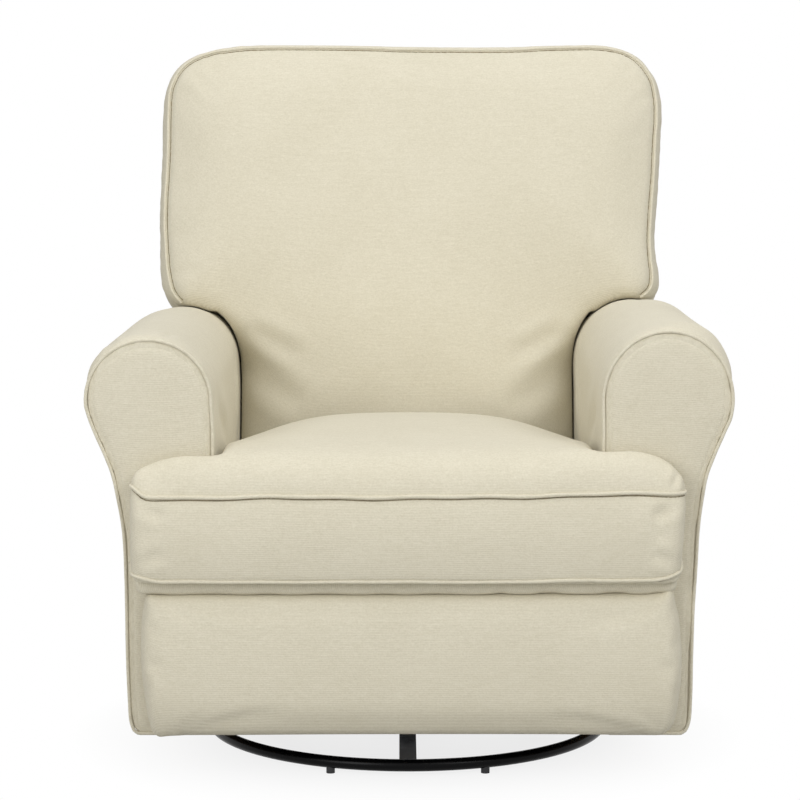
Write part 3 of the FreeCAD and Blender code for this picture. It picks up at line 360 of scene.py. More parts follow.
# moulded nylon or rubber: dark and matt, with the 0.8 mm grain of a spark-eroded mould
MOULDED_NYLON = HardSkin(
    "moulded nylon", "17171A", 0.62, grain=0.0008, detail=1.0, strength=0.2, depth=0.0002,
    stains=60.0, stain_detail=4.0, swing=(0.85, 1.15), ior=1.53,
)


@dataclass(frozen=True)
class BirchPlywood(Finish):
    """Sawn birch plywood: pale, with grain along the board and a dull surface."""

    process: str = "sawn birch plywood"
    base: str = "CDA877"
    dark: str = "A57D4E"
    # growth rings about 6 mm apart, rotary cut, so that the figure is four times as wide
    ring: float = 0.006

    def shade(self, nodes: NodeTree) -> bpy.types.NodeSocket:
        """Long figure along the board in two tones.

        Args:
            nodes: the material's tree.

        Returns:
            The surface shader's socket.
        """
        place = nodes.add("ShaderNodeTexCoord", out="Object")
        stretch = nodes.add("ShaderNodeVectorMath", {0: place, 1: (1.0, 0.1, 1.0)}, operation="MULTIPLY")
        figure = nodes.add("ShaderNodeTexNoise", {
            "Vector": stretch, "Scale": 1 / self.ring / 4, "Detail": 6.0, "Distortion": 0.6,
        })
        tone = nodes.add("ShaderNodeMapRange", {0: figure, 1: 0.35, 2: 0.68, 3: 0.0, 4: 1.0})
        colour = nodes.add("ShaderNodeMix", {
            "Factor": tone, 6: srgb(self.base), 7: srgb(self.dark),
        }, out=2, data_type="RGBA")
        relief = nodes.add("ShaderNodeBump", {"Height": figure, "Strength": 0.2, "Distance": 0.0004})
        return nodes.add("ShaderNodeBsdfPrincipled", {
            "Base Color": colour, "Roughness": 0.72, "IOR": 1.5, "Normal": relief,
        })


# ---------------------------------------------------------------- mesh tools


def placed_object(name: str, data: bpy.types.ID) -> bpy.types.Object:
    """Put a mesh, a lamp or a camera in the scene, at the origin."""
    made = bpy.data.objects.new(name, data)
    bpy.context.scene.collection.objects.link(made)
    return made


def mesh_object(name: str, points: Iterable[Sequence[float]], faces: Iterable[Sequence[int]],
                edges: Iterable[Sequence[int]] = ()) -> bpy.types.Object:
    """Make a mesh object at the origin, its faces pointing outwards.

    Args:
        name: the object's name.
        points: vertex positions in metres.
        faces: vertex numbers of each face.
        edges: vertex numbers of each loose edge.

    Returns:
        The new object.
    """
    mesh = bpy.data.meshes.new(name)
    places = [tuple(map(float, point)) for point in points]
    mesh.from_pydata(places, [tuple(edge) for edge in edges], [tuple(face) for face in faces])
    if mesh.polygons:
        working = bmesh.new()
        working.from_mesh(mesh)
        bmesh.ops.remove_doubles(working, verts=working.verts, dist=1e-6)
        bmesh.ops.recalc_face_normals(working, faces=working.faces)
        working.to_mesh(mesh)
        working.free()
    return placed_object(name, mesh)


def points_of(piece: bpy.types.Object) -> Array:
    """Vertex positions of a mesh object, one row each."""
    flat = np.empty(len(piece.data.vertices) * 3, np.float64)
    piece.data.vertices.foreach_get("co", flat)
    return flat.reshape(-1, 3)


def place_points(piece: bpy.types.Object, points: Array) -> None:
    """Move a mesh object's vertices to new positions."""
    piece.data.vertices.foreach_set("co", np.ascontiguousarray(points, np.float64).ravel())
    piece.data.update()


def normals_of(piece: bpy.types.Object) -> Array:
    """Vertex normals of a mesh object, one row each."""
    flat = np.empty(len(piece.data.vertices) * 3, np.float32)
    piece.data.vertex_normals.foreach_get("vector", flat)
    return flat.reshape(-1, 3).astype(np.float64)


def edges_of(piece: bpy.types.Object) -> Array:
    """Vertex numbers of a mesh object's edges, one row each."""
    flat = np.empty(len(piece.data.edges) * 2, np.int32)
    piece.data.edges.foreach_get("vertices", flat)
    return flat.reshape(-1, 2)


def relaxed(points: Array, edges: Array, rounds: int) -> Array:
    """Smooth a mesh by moving each vertex halfway to the mean of its neighbours.

    Args:
        points: vertex positions.
        edges: vertex numbers of the edges.
        rounds: how many times to smooth.

    Returns:
        The smoothed positions.
    """
    count = np.bincount(edges.ravel(), minlength=len(points)).reshape(-1, 1).clip(1)
    result = points.copy()
    for _ in range(rounds):
        total = np.zeros_like(result)
        for axis in range(3):
            total[:, axis] += np.bincount(edges[:, 0], result[edges[:, 1], axis], len(points))
            total[:, axis] += np.bincount(edges[:, 1], result[edges[:, 0], axis], len(points))
        result += 0.5 * (total / count - result)
    return result


def evaluated_copy(piece: bpy.types.Object) -> bpy.types.Mesh:
    """The mesh of a piece with its modifiers applied, as a new mesh."""
    graph = bpy.context.evaluated_depsgraph_get()
    return bpy.data.meshes.new_from_object(piece.evaluated_get(graph), depsgraph=graph)


def apply_modifiers(piece: bpy.types.Object) -> None:
    """Replace a piece's mesh by what its modifiers make of it."""
    mesh = evaluated_copy(piece)
    piece.modifiers.clear()
    piece.data = mesh


def remeshed(piece: bpy.types.Object, voxel: float) -> None:
    """Give a closed piece an even mesh of square faces.

    Args:
        piece: the closed mesh object, changed in place.
        voxel: the side of a face, in metres.
    """
    change = piece.modifiers.new("even mesh", "REMESH")
    change.mode = "VOXEL"
    change.voxel_size = voxel
    apply_modifiers(piece)


def subdivided(piece: bpy.types.Object) -> None:
    """Subdivide a piece once, smoothly."""
    change = piece.modifiers.new("finer", "SUBSURF")
    change.levels = 1
    change.render_levels = 1
    apply_modifiers(piece)


def refined(piece: bpy.types.Object, spots: Sequence[Sequence[float]], radius: float) -> None:
    """Divide the faces round a few spots, where the cloth has finer detail.

    Args:
        piece: the mesh object, changed in place.
        spots: the spots.
        radius: how far round each spot, in metres.
    """
    working = bmesh.new()
    working.from_mesh(piece.data)
    centres = [Vector(spot) for spot in spots]
    near = [
        edge for edge in working.edges
        if any((edge.verts[0].co - centre).length < radius for centre in centres)
    ]
    bmesh.ops.subdivide_edges(working, edges=near, cuts=2, use_grid_fill=True)
    working.to_mesh(piece.data)
    working.free()


def smooth_shaded(piece: bpy.types.Object) -> None:
    """Shade a piece smoothly all over."""
    piece.data.polygons.foreach_set("use_smooth", [True] * len(piece.data.polygons))
    piece.data.update()


def smoothstep(values: Array, low: float, high: float) -> Array:
    """Rise smoothly from 0 at low to 1 at high."""
    share = np.clip((values - low) / (high - low), 0.0, 1.0)
    return share * share * (3 - 2 * share)


def rounded(share: Array) -> Array:
    """Rise from 0 at 0 to 1 at 1 along a quarter of a circle, steep at first."""
    return np.sqrt(np.clip(1 - (1 - np.clip(share, 0, 1)) ** 2, 0, 1))


def bell(distance: Array, width: float) -> Array:
    """Fall from 1 at no distance to nothing at about twice the width."""
    return np.exp(-(distance / width) ** 2)


@dataclass(frozen=True)
class Corner:
    """A corner of an outline and how far it is rounded, in metres."""

    u: float
    v: float
    radius: float = 0.0


def evened(ring: Array, step: float = 0.006) -> Array:
    """Fill long runs of a closed ring of points so that none is longer than the step.

    Args:
        ring: the outline's points.
        step: the longest run, in metres.

    Returns:
        The filled ring.
    """
    rows = []
    for here, ahead in zip(ring, np.roll(ring, -1, axis=0)):
        count = max(1, int(np.linalg.norm(ahead - here) / step))
        shares = np.linspace(0, 1, count, endpoint=False).reshape(-1, 1)
        rows.append(here + (ahead - here) * shares)
    return np.concatenate(rows)


def outlined(corners: Sequence[Corner], step: float = 0.006) -> Array:
    """A closed flat outline with rounded corners.

    Args:
        corners: its corners, anticlockwise.
        step: spacing of the points on its straight runs and arcs, in metres.

    Returns:
        One row of two coordinates for each point.
    """
    places = np.array([(c.u, c.v) for c in corners])
    rows: list[Array] = []
    for k, corner in enumerate(corners):
        here = places[k]
        back = places[k - 1] - here
        ahead = places[(k + 1) % len(places)] - here
        back /= np.linalg.norm(back)
        ahead /= np.linalg.norm(ahead)
        half_angle = math.acos(float(np.clip(back @ ahead, -1, 1))) / 2
        if corner.radius <= 0 or abs(half_angle - math.pi / 2) < 1e-3:
            rows.append(here.reshape(1, 2))
            continue
        reach = corner.radius / math.tan(half_angle)
        halfway = (back + ahead) / np.linalg.norm(back + ahead)
        middle = here + halfway * corner.radius / math.sin(half_angle)
        start = here + back * reach - middle
        end = here + ahead * reach - middle
        turn = math.atan2(start[0] * end[1] - start[1] * end[0], float(start @ end))
        count = max(3, int(abs(turn) * corner.radius / step))
        angles = math.atan2(start[1], start[0]) + np.linspace(0, turn, count + 1)
        rows.append(middle + corner.radius * np.stack([np.cos(angles), np.sin(angles)], 1))
    return evened(np.concatenate(rows), step)


# which pins each round of the curve's averaging runs between
CURVE_SPANS = (((0, 1), (1, 2), (2, 3)), ((0, 2), (1, 3)), ((1, 2),))


def flowing(places: Sequence[Point2], closed: bool, step: float = 0.005) -> Array:
    """A smooth curve through given places, as a cutter's flexible rule lies along its pins.

    Args:
        places: the places, in order.
        closed: whether the curve comes back to its start.
        step: spacing of the points along it, in metres.

    Returns:
        One row of two coordinates for each point.
    """
    pins = np.array(places, float)
    if closed:
        pins = np.concatenate([pins[-1:], pins, pins[:2]])
    else:
        pins = np.concatenate([2 * pins[:1] - pins[1:2], pins, 2 * pins[-1:] - pins[-2:-1]])
    rows: list[Array] = []
    for four in zip(pins, pins[1:], pins[2:], pins[3:]):
        gaps = [max(float(np.linalg.norm(b - a)), 1e-6) ** 0.5 for a, b in zip(four, four[1:])]
        knots = np.cumsum([0.0, *gaps])
        count = max(1, int(gaps[1] ** 2 / step))
        at = np.linspace(knots[1], knots[2], count, endpoint=False).reshape(-1, 1)
        layer: list[Array] = list(four)
        for spans in CURVE_SPANS:
            layer = [
                ((knots[last] - at) * low + (at - knots[first]) * high) / (knots[last] - knots[first])
                for (first, last), low, high in zip(spans, layer, layer[1:])
            ]
        rows.append(layer[0])
    if not closed:
        rows.append(pins[-2:-1])
    return np.concatenate(rows)


def shrunk(ring: Array, inset: float) -> Array:
    """Draw an anticlockwise outline in by the same amount all round."""
    run = np.roll(ring, -1, axis=0) - np.roll(ring, 1, axis=0)
    run /= np.linalg.norm(run, axis=1).clip(1e-9).reshape(-1, 1)
    return ring + inset * np.stack([-run[:, 1], run[:, 0]], 1)


class Facing(Enum):
    """How an outline lies: its two axes and its depth, as numbers of X, Y and Z."""

    FRONT = (0, 2, 1)
    LEVEL = (0, 1, 2)

    def lift(self, flat: Array, depth: Array | float) -> Array:
        """Place flat points in space.

        Args:
            flat: rows of two coordinates.
            depth: the third coordinate.

        Returns:
            Rows of X, Y and Z.
        """
        space = np.zeros((len(flat), 3))
        space[:, self.value[0]] = flat[:, 0]
        space[:, self.value[1]] = flat[:, 1]
        space[:, self.value[2]] = depth
        return space

    def flat(self, space: Array) -> Array:
        """The two outline coordinates of points in space."""
        return space[:, [self.value[0], self.value[1]]]


def distance_to(ring: Array, flat: Array) -> Array:
    """Shortest distance from each flat point to a ring of points, in blocks to save memory."""
    result = np.empty(len(flat))
    block = 4000
    for start in range(0, len(flat), block):
        part = flat[start:start + block]
        gap = ((part[:, None, :] - ring[None, :, :]) ** 2).sum(2)
        result[start:start + block] = np.sqrt(gap.min(1))
    return result


def prism(name: str, ring: Array, facing: Facing, low: float, high: float) -> bpy.types.Object:
    """A closed block with a flat outline.

    Args:
        name: the object's name.
        ring: the outline's points.
        facing: how the outline lies.
        low: depth of one end.
        high: depth of the other end.

    Returns:
        The block as a mesh object.
    """
    count = len(ring)
    points = np.concatenate([facing.lift(ring, low), facing.lift(ring, high)])
    faces: list[tuple[int, ...]] = [tuple(range(count)), tuple(range(count, count * 2))]
    for k in range(count):
        ahead = (k + 1) % count
        faces.append((k, ahead, count + ahead, count + k))
    return mesh_object(name, points, faces)


@dataclass(frozen=True)
class Crease:
    """A soft fold pressed into cloth between two points."""

    start: tuple[float, float, float]
    end: tuple[float, float, float]
    width: float
    depth: float
    bow: float = 0.0

    def press(self, points: Array, normals: Array) -> Array:
        """Press the fold into a surface; it fades out at both ends.

        Args:
            points: vertex positions.
            normals: vertex normals.

        Returns:
            The new positions.
        """
        start = np.array(self.start)
        run = np.array(self.end) - start
        length = np.linalg.norm(run)
        along = ((points - start) @ run) / length ** 2
        side = np.cross(run / length, np.mean(normals[np.abs(along - 0.5) < 0.5], axis=0))
        arch = np.clip(4 * along * (1 - along), 0, 1)
        centre = start + np.outer(along, run) + np.outer(arch * self.bow, side)
        away = np.linalg.norm(points - centre, axis=1)
        fade = smoothstep(along, -0.05, 0.35) * (1 - smoothstep(along, 0.65, 1.05))
        # a groove between two low swells
        profile = bell(away, self.width) - 0.45 * bell(away - 2.1 * self.width, self.width)
        return points - normals * (self.depth * profile * fade).reshape(-1, 1)


def folded(piece: bpy.types.Object, folds: Sequence[Crease]) -> None:
    """Press soft folds into a piece, one after the other."""
    points = points_of(piece)
    normals = normals_of(piece)
    for fold in folds:
        points = fold.press(points, normals)
    place_points(piece, points)


@dataclass
class Swelling:
    """Pressure that fills a set of padded pieces, as stuffing does, in one simulation."""

    frames: int = 20
    jobs: list[tuple[bpy.types.Object, Array, float]] = field(default_factory=list)
    settings: dict[str, float | bool | str] = field(default_factory=lambda: {
        "quality": 6, "mass": 0.3, "tension_stiffness": 25, "compression_stiffness": 15,
        "shear_stiffness": 8, "bending_stiffness": 0.6, "use_pressure": True,
        "uniform_pressure_force": 4.0, "vertex_group_mass": "held",
    })

    def take(self, piece: bpy.types.Object, held: Array, cap: float) -> None:
        """Put an even mesh in line, with each vertex's hold from 0 to 1 and the furthest any may move."""
        self.jobs.append((piece, held, cap))

    def run(self) -> None:
        """Swell every piece in line and leave the result in its mesh."""
        starts = []
        for piece, held, _ in self.jobs:
            starts.append(points_of(piece))
            group = piece.vertex_groups.new(name="held")
            for level in range(1, 11):
                members = np.nonzero(np.round(held * 10) == level)[0]
                group.add([int(m) for m in members], level / 10, "REPLACE")
            cloth = piece.modifiers.new("stuffing", "CLOTH")
            for key, value in self.settings.items():
                setattr(cloth.settings, key, value)
            cloth.settings.effector_weights.gravity = 0
            cloth.collision_settings.use_collision = False
            cloth.point_cache.frame_start = 1
            cloth.point_cache.frame_end = self.frames
        for frame in range(1, self.frames + 1):
            bpy.context.scene.frame_set(frame)
        meshes = [evaluated_copy(piece) for piece, _, _ in self.jobs]
        for (piece, _, cap), start, mesh in zip(self.jobs, starts, meshes):
            piece.modifiers.clear()
            piece.vertex_groups.clear()
            swollen = np.empty(len(mesh.vertices) * 3, np.float64)
            mesh.vertices.foreach_get("co", swollen)
            move = swollen.reshape(-1, 3) - start
            length = np.linalg.norm(move, axis=1).clip(1e-9)
            move *= (cap * np.tanh(length / cap) / length).reshape(-1, 1)
            place_points(piece, relaxed(start + move, edges_of(piece), 2))
            bpy.data.meshes.remove(mesh)
            furthest = 1000 * float(np.linalg.norm(move, axis=1).max())
            LOG.info("swelled %s by up to %.1f mm", piece.name, furthest)
        bpy.context.scene.frame_set(1)


class Surface:
    """A finished surface that trim can be laid on."""

    REACH = 0.05

    def __init__(self, *pieces: bpy.types.Object) -> None:
        """Read the surface.

        Args:
            *pieces: mesh objects that make up the surface.
        """
        self.trees = []
        for piece in pieces:
            working = bmesh.new()
            working.from_mesh(piece.data)
            self.trees.append(BVHTree.FromBMesh(working))
            working.free()

    def laid(self, points: Array, lift: float) -> Array:
        """Lay points on the surface; one with no surface within REACH stays where it is.

        Args:
            points: where the points should be, roughly.
            lift: how far they stand off the surface, in metres.

        Returns:
            The points on the surface.
        """
        rows = []
        for point in points:
            best = (self.REACH, Vector(point))
            for tree in self.trees:
                spot, normal, _, gap = tree.find_nearest(Vector(point))
                if spot is not None and gap < best[0]:
                    best = (gap, spot + normal * lift)
            rows.append(best[1])
        return np.array(rows)


# ---------------------------------------------------------------- trim that follows a path


class WeltTree:
    """Geometry nodes that turn a path of edges into a round cord covered in cloth."""

    SIDES = 10
    SPACING = 0.0035
    # the gathers of the covering cloth follow each other about every 11 mm
    GATHERS = 90.0

    def __init__(self) -> None:
        """Build the node group once."""
        self.group = bpy.data.node_groups.new("welt along a path", "GeometryNodeTree")
        face = self.group.interface
        face.new_socket("Path", in_out="INPUT", socket_type="NodeSocketGeometry")
        self.radius, self.spacing, self.pucker, self.cloth = (
            face.new_socket(name, in_out="INPUT", socket_type=kind).identifier
            for name, kind in (
                ("Cord radius", "NodeSocketFloat"), ("Point spacing", "NodeSocketFloat"),
                ("Pucker", "NodeSocketFloat"), ("Cloth", "NodeSocketMaterial"),
            )
        )
        face.new_socket("Welt", in_out="OUTPUT", socket_type="NodeSocketGeometry")
        nodes = NodeTree(self.group)
        given = nodes.add("NodeGroupInput").node.outputs
        line = nodes.add("GeometryNodeMeshToCurve", {"Mesh": given["Path"]})
        even = nodes.add(
            "GeometryNodeResampleCurve", {"Curve": line, "Length": given["Point spacing"]}, mode="LENGTH"
        )
        place = nodes.add("GeometryNodeInputPosition")
        gather = nodes.add("ShaderNodeTexNoise", {"Vector": place, "Scale": self.GATHERS, "Detail": 1.0})
        swing = nodes.add("ShaderNodeMath", {0: gather, 1: 0.5}, operation="SUBTRACT")
        change = nodes.add("ShaderNodeMath", {0: swing, 1: given["Pucker"]}, operation="MULTIPLY")
        width = nodes.add("ShaderNodeMath", {0: change, 1: 1.0}, operation="ADD")
        cord = nodes.add(
            "GeometryNodeCurvePrimitiveCircle", {"Resolution": self.SIDES, "Radius": given["Cord radius"]}
        )
        tube = nodes.add("GeometryNodeCurveToMesh", {
            "Curve": even, "Profile Curve": cord, "Scale": width, "Fill Caps": True,
        })
        smooth = nodes.add("GeometryNodeSetShadeSmooth", {0: tube})
        real = nodes.add("GeometryNodeRealizeInstances", {0: smooth})
        clad = nodes.add("GeometryNodeSetMaterial", {0: real, "Material": given["Cloth"]})
        nodes.add("NodeGroupOutput", {"Welt": clad})

    def along(self, name: str, path: Array, closed: bool, radius: float, finish: Finish,
              pucker: float = 0.18) -> bpy.types.Object:
        """Make a welt along a path.

        Args:
            name: the welt's name.
            path: points in metres.
            closed: whether the path is a ring.
            radius: radius of the covered cord.
            finish: the cloth that covers it.
            pucker: how much its thickness changes.

        Returns:
            The welt as a plain mesh object.
        """
        count = len(path)
        edges = [(k, (k + 1) % count) for k in range(count if closed else count - 1)]
        piece = mesh_object(name, path, [], edges)
        grown = piece.modifiers.new("welt", "NODES")
        grown.node_group = self.group
        grown[self.radius] = radius
        grown[self.spacing] = self.SPACING
        grown[self.pucker] = pucker
        grown[self.cloth] = finish.material()
        apply_modifiers(piece)
        return piece


def joined(name: str, pieces: Sequence[bpy.types.Object]) -> bpy.types.Object:
    """Join mesh objects into one, each part of it in its own finish.

    Args:
        name: the joined object's name.
        pieces: the objects; they are used up.

    Returns:
        The joined object.
    """
    working = bmesh.new()
    materials: list[bpy.types.Material] = []
    for piece in pieces:
        start = len(working.faces)
        working.from_mesh(piece.data)
        working.faces.ensure_lookup_table()
        own = piece.data.materials[0]
        if own not in materials:
            materials.append(own)
        for k in range(start, len(working.faces)):
            working.faces[k].material_index = materials.index(own)
    mesh = bpy.data.meshes.new(name)
    working.to_mesh(mesh)
    working.free()
    for material in materials:
        mesh.materials.append(material)
    made = placed_object(name, mesh)
    for piece in pieces:
        bpy.data.objects.remove(piece)
    return made


# ---------------------------------------------------------------- upholstery


# how near a seam its cloth is held while the padding swells, in metres
SEAM_BAND = 0.006


class Upholstery(ABC):
    """A padded sub-assembly: it is cut, swollen, and then finished with its trim."""

    @abstractmethod
    def cut(self, swelling: Swelling) -> None:
        """Cut the padded forms and put them in line for swelling."""

    @abstractmethod
    def finish(self, welts: WeltTree) -> None:
        """Finish the swollen forms, lay their welts and seams, and hang them on the frame."""

    @staticmethod
    def hang(piece: bpy.types.Object, body: str, cloth: Finish | None = None, stands_for: str = "",
             fill: float = 0.0) -> None:
        """Shade a finished piece smoothly and hang it on its body.

        Args:
            piece: the finished piece.
            body: the body that it moves with.
            cloth: the cloth of a padded piece; trim already has its own.
            stands_for: the rigid model's sub-part that a padded piece replaces.
            fill: the share of its room that a padded piece's stuffing fills; not used.
        """
        smooth_shaded(piece)
        if cloth is not None:
            cloth.dress(piece)
        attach(piece, body)
        if stands_for:
            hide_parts(stands_for)
        LOG.info("built %s", piece.name)


@dataclass
class Lean:
    """Turns the back from its upright drawing to its lean about the recline pivot."""

    pivot_y: float = 0.174
    pivot_z: float = 0.300
    degrees: float = 15.5

    def placed(self, points: Array) -> Array:
        """Lean points back about the pivot.

        Args:
            points: rows of X, Y, Z, drawn upright with the pivot at the origin.

        Returns:
            The points in the chair's frame.
        """
        turn = math.radians(self.degrees)
        result = points.copy()
        result[:, 1] = points[:, 1] * math.cos(turn) + points[:, 2] * math.sin(turn) + self.pivot_y
        result[:, 2] = points[:, 2] * math.cos(turn) - points[:, 1] * math.sin(turn) + self.pivot_z
        return result


@dataclass
class Piping:
    """How a welted seam is made up: a covered cord, a dark tube of painted shade beside it that stands for
    the seam's shadow, and the dip they lie in.
    """

    cord: float = 0.0024
    # radius of the dark tube that paints the seam's shadow
    thread: float = 0.00075
    dip_width: float = 0.0045
    dip_depth: float = 0.0022

    def press(self, piece: bpy.types.Object, path: Array) -> None:
        """Draw the cloth in along a seam.

        Args:
            piece: the sewn piece.
            path: the seam's points.
        """
        points = points_of(piece)
        pull = self.dip_depth * bell(distance_to(path, points), self.dip_width)
        place_points(piece, points - normals_of(piece) * pull.reshape(-1, 1))

    def sew(self, welts: WeltTree, surface: Surface, seam: Array, line: Array, closed: bool,
            cloth: Finish) -> list[bpy.types.Object]:
        """Lay the cord on the seam and the dark tube of painted seam shadow beside it.

        Args:
            welts: the tree that makes both.
            surface: what they lie on.
            seam: path of the cord.
            line: path of the painted seam shadow.
            closed: whether the paths are rings.
            cloth: the cord's cloth.

        Returns:
            The cord and the painted seam shadow.
        """
        sunk = surface.laid(seam, self.cord * 0.35)
        return [
            welts.along("cord", sunk, closed, self.cord, cloth),
            self.painted_seam_shadow(welts, surface, line, closed),
        ]

    def painted_seam_shadow(self, welts: WeltTree, surface: Surface, line: Array, closed: bool) -> bpy.types.Object:
        """Lay the dark tube that paints a seam's shadow on its surface."""
        path = surface.laid(line, 0.0001)
        return welts.along("painted seam shadow line", path, closed, self.thread, PaintedSeamShadow(), pucker=0.5)


@dataclass
class BackRest(Upholstery):
    """The reclining back: a crowned front pad in a boxing band, and the shell behind it."""

    lower_half: float = 0.2605
    bottom: float = 0.034
    rear_of_pad: float = -0.004
    seam_depth: float = 0.060
    crown_depth: float = 0.097
    rear_depth: float = 0.102
    boxing_bulge: float = 0.0105
    # the shell's own seam lies this far in front of its depth
    shell_lip: float = 0.012
    tuck: float = 0.060
    # the sides start to turn in this far from the middle
    tuck_from: float = 0.150
    arm_gap: float = 0.0015
    voxel: float = 0.0072
    cap: float = 0.014
    arms: tuple["Arm", "Arm"] = ()
    pad: bpy.types.Object = field(init=False)
    shell: bpy.types.Object = field(init=False)
    piping: Piping = field(default_factory=Piping)
    lean: Lean = field(default_factory=Lean)
    # the hand-sewn seam isn't quite the same on both sides; its pins run from the left wing over the top
    pins: tuple[Point2, ...] = (
        (-0.3560, 0.3035), (-0.3695, 0.3270), (-0.3785, 0.3756), (-0.3822, 0.4300), (-0.3818, 0.4886),
        (-0.3797, 0.5535), (-0.3795, 0.6189), (-0.3762, 0.6530), (-0.3640, 0.6812), (-0.3455, 0.6985),
        (-0.3180, 0.7112), (-0.2819, 0.7185), (-0.2341, 0.7216), (-0.1225, 0.7216), (0.0049, 0.7194),
        (0.1483, 0.7188), (0.2440, 0.7214), (0.3077, 0.7214), (0.3395, 0.7160), (0.3640, 0.7030),
        (0.3800, 0.6862), (0.3913, 0.6640), (0.3965, 0.6353), (0.3968, 0.6025), (0.3935, 0.5535),
        (0.3912, 0.5210), (0.3874, 0.4724), (0.3842, 0.4400), (0.3822, 0.4078), (0.3832, 0.3756),
        (0.3858, 0.3470), (0.3810, 0.3270), (0.3670, 0.3130),
    )

    def room(self, x: Array) -> Array:
        """Distance from the recline pivot at which the back passes over the arms.

        Args:
            x: places across the chair.

        Returns:
            The radius at each place; nothing between the arms.
        """
        left, right = self.arms
        reach = np.where(x < 0, left.passed(x), right.passed(x)) + self.arm_gap
        return np.where(np.abs(x) > self.lower_half + self.arm_gap, reach, 0.0)

    def outline(self) -> Array:
        """The back's seam seen from the front: wide above the arms, narrow between them.

        Returns:
            The outline's points.
        """
        upper = flowing(self.pins, False)
        sides = []
        for side in (-1, 1):
            x = np.linspace(0.345, self.lower_half + 0.003, 26)
            over = np.sqrt(np.clip(self.room(side * x) ** 2 - self.seam_depth ** 2, 0, None))
            sides.append(np.stack([side * x, over], 1))
        lower = outlined([
            Corner(-self.lower_half, 0.205), Corner(-self.lower_half, self.bottom, 0.035),
            Corner(self.lower_half, self.bottom, 0.035), Corner(self.lower_half, 0.205),
        ])
        cut = len(lower) - np.argmax(lower[::-1, 0] > self.lower_half - 1e-6)
        ring = np.concatenate([upper, sides[1], lower[:cut][::-1], sides[0][::-1]])
        return ring[::-1]

    def clear_of_arms(self, points: Array) -> Array:
        """Keep the wide part off the arms, over which it swings, and the narrow part between them.

        Args:
            points: upright points about the pivot.

        Returns:
            The points, with those inside the arms' room moved out to it.
        """
        result = points.copy()
        away = np.hypot(points[:, 1], points[:, 2]).clip(1e-6)
        room = self.room(points[:, 0])
        inside = (away < room) & (points[:, 2] > 0.10)
        # nothing is moved by more than 20 mm
        push = np.where(inside, np.minimum(room / away, 1 + 0.02 / away), 1.0)
        result[:, 1] *= push
        result[:, 2] *= push
        limit = self.lower_half + 0.001
        low = (points[:, 2] < 0.20) & (np.abs(points[:, 0]) > limit)
        result[low, 0] = np.sign(result[low, 0]) * limit
        return result

    def tucked(self, points: Array) -> Array:
        """Turn the pad in where it is wedged between the arms, so that its sides recede.

        Args:
            points: upright points about the pivot.

        Returns:
            The points, drawn back beside the arms.
        """
        result = points.copy()
        across = np.abs(points[:, 0])
        beside = np.clip((across - self.tuck_from) / (self.lower_half + 0.004 - self.tuck_from), 0, 1)
        turn = 1 - np.sqrt(np.clip(1 - (0.97 * beside) ** 2, 0, 1))
        # the turn ends at a line that climbs towards the middle
        below = 1 - smoothstep(points[:, 2] + 0.40 * (0.26 - across), 0.205, 0.276)
        front = np.clip(-points[:, 1] / self.seam_depth, 0, 1.5)
        result[:, 1] += self.tuck * turn * below * front
        return result

    def filled(self, piece: bpy.types.Object, ring: Array, seam: float, out: float) -> None:
        """Bulge a piece's boxing outwards between its seams.

        Args:
            piece: the pad or the shell.
            ring: the outline it was cut to.
            seam: depth of the piece's own welted seam.
            out: which way along the depth the seam faces.
        """
        points = points_of(piece)
        edge = distance_to(ring, Facing.FRONT.flat(points))
        shoulder = rounded(out * (seam - points[:, 1]) / 0.028)
        wing = smoothstep(points[:, 2], 0.30, 0.34)
        fuller = 1 + 0.45 * (1 - smoothstep(points[:, 2], 0.33, 0.42))
        sideways = normals_of(piece) * (1.0, 0.0, 1.0)
        sideways /= np.linalg.norm(sideways, axis=1).clip(0.25).reshape(-1, 1)
        bulge = self.boxing_bulge * shoulder * wing * fuller * bell(edge, SEAM_BAND)
        place_points(piece, points + sideways * bulge.reshape(-1, 1))

    def cut(self, swelling: Swelling) -> None:
        """Cut the front pad and the shell."""
        ring = self.outline()
        self.pad = prism("back_pad", ring, Facing.FRONT, self.rear_of_pad, -self.seam_depth)
        remeshed(self.pad, self.voxel)
        points = points_of(self.pad)
        edge = distance_to(ring, Facing.FRONT.flat(points))
        front = smoothstep(-points[:, 1], self.seam_depth - 0.012, self.seam_depth - 0.002)
        rise = self.crown_depth - self.seam_depth
        crown = 0.50 * rounded(edge / 0.034) + 0.50 * (1 - np.exp(-(edge / 0.15) ** 1.5))
        low = 1 - smoothstep(points[:, 2], self.bottom + 0.02, self.bottom + 0.14)
        points[:, 1] -= front * rise * crown * (1 - 0.25 * low)
        place_points(self.pad, relaxed(points, edges_of(self.pad), 3))
        self.filled(self.pad, ring, -self.seam_depth, -1)
        seam = bell(points_of(self.pad)[:, 1] + self.seam_depth, SEAM_BAND) * (edge < 0.012)
        place_points(self.pad, self.clear_of_arms(self.tucked(points_of(self.pad))))
        rear = 1 - smoothstep(-points_of(self.pad)[:, 1], 0.004, 0.014)
        swelling.take(self.pad, np.clip(rear + 0.9 * seam + 0.7 * low, 0, 1), self.cap)

        lip = self.rear_depth - self.shell_lip
        self.shell = prism("back_shell", ring, Facing.FRONT, self.rear_of_pad - 0.001, lip)
        remeshed(self.shell, self.voxel)
        points = points_of(self.shell)
        edge = distance_to(ring, Facing.FRONT.flat(points))
        behind = smoothstep(points[:, 1], self.rear_depth - 0.024, self.rear_depth - 0.014)
        points[:, 1] += behind * 0.010 * (1 - np.exp(-edge / 0.03))
        place_points(self.shell, relaxed(points, edges_of(self.shell), 3))
        self.filled(self.shell, ring, lip, 1)
        place_points(self.shell, self.clear_of_arms(points_of(self.shell)))
        depth = points_of(self.shell)[:, 1]
        fore = 1 - smoothstep(depth, 0.002, 0.014)
        seam = bell(depth - self.rear_depth + self.shell_lip, SEAM_BAND) * (edge < 0.012)
        swelling.take(self.shell, np.clip(fore + 0.9 * seam, 0, 1), self.cap * 0.5)

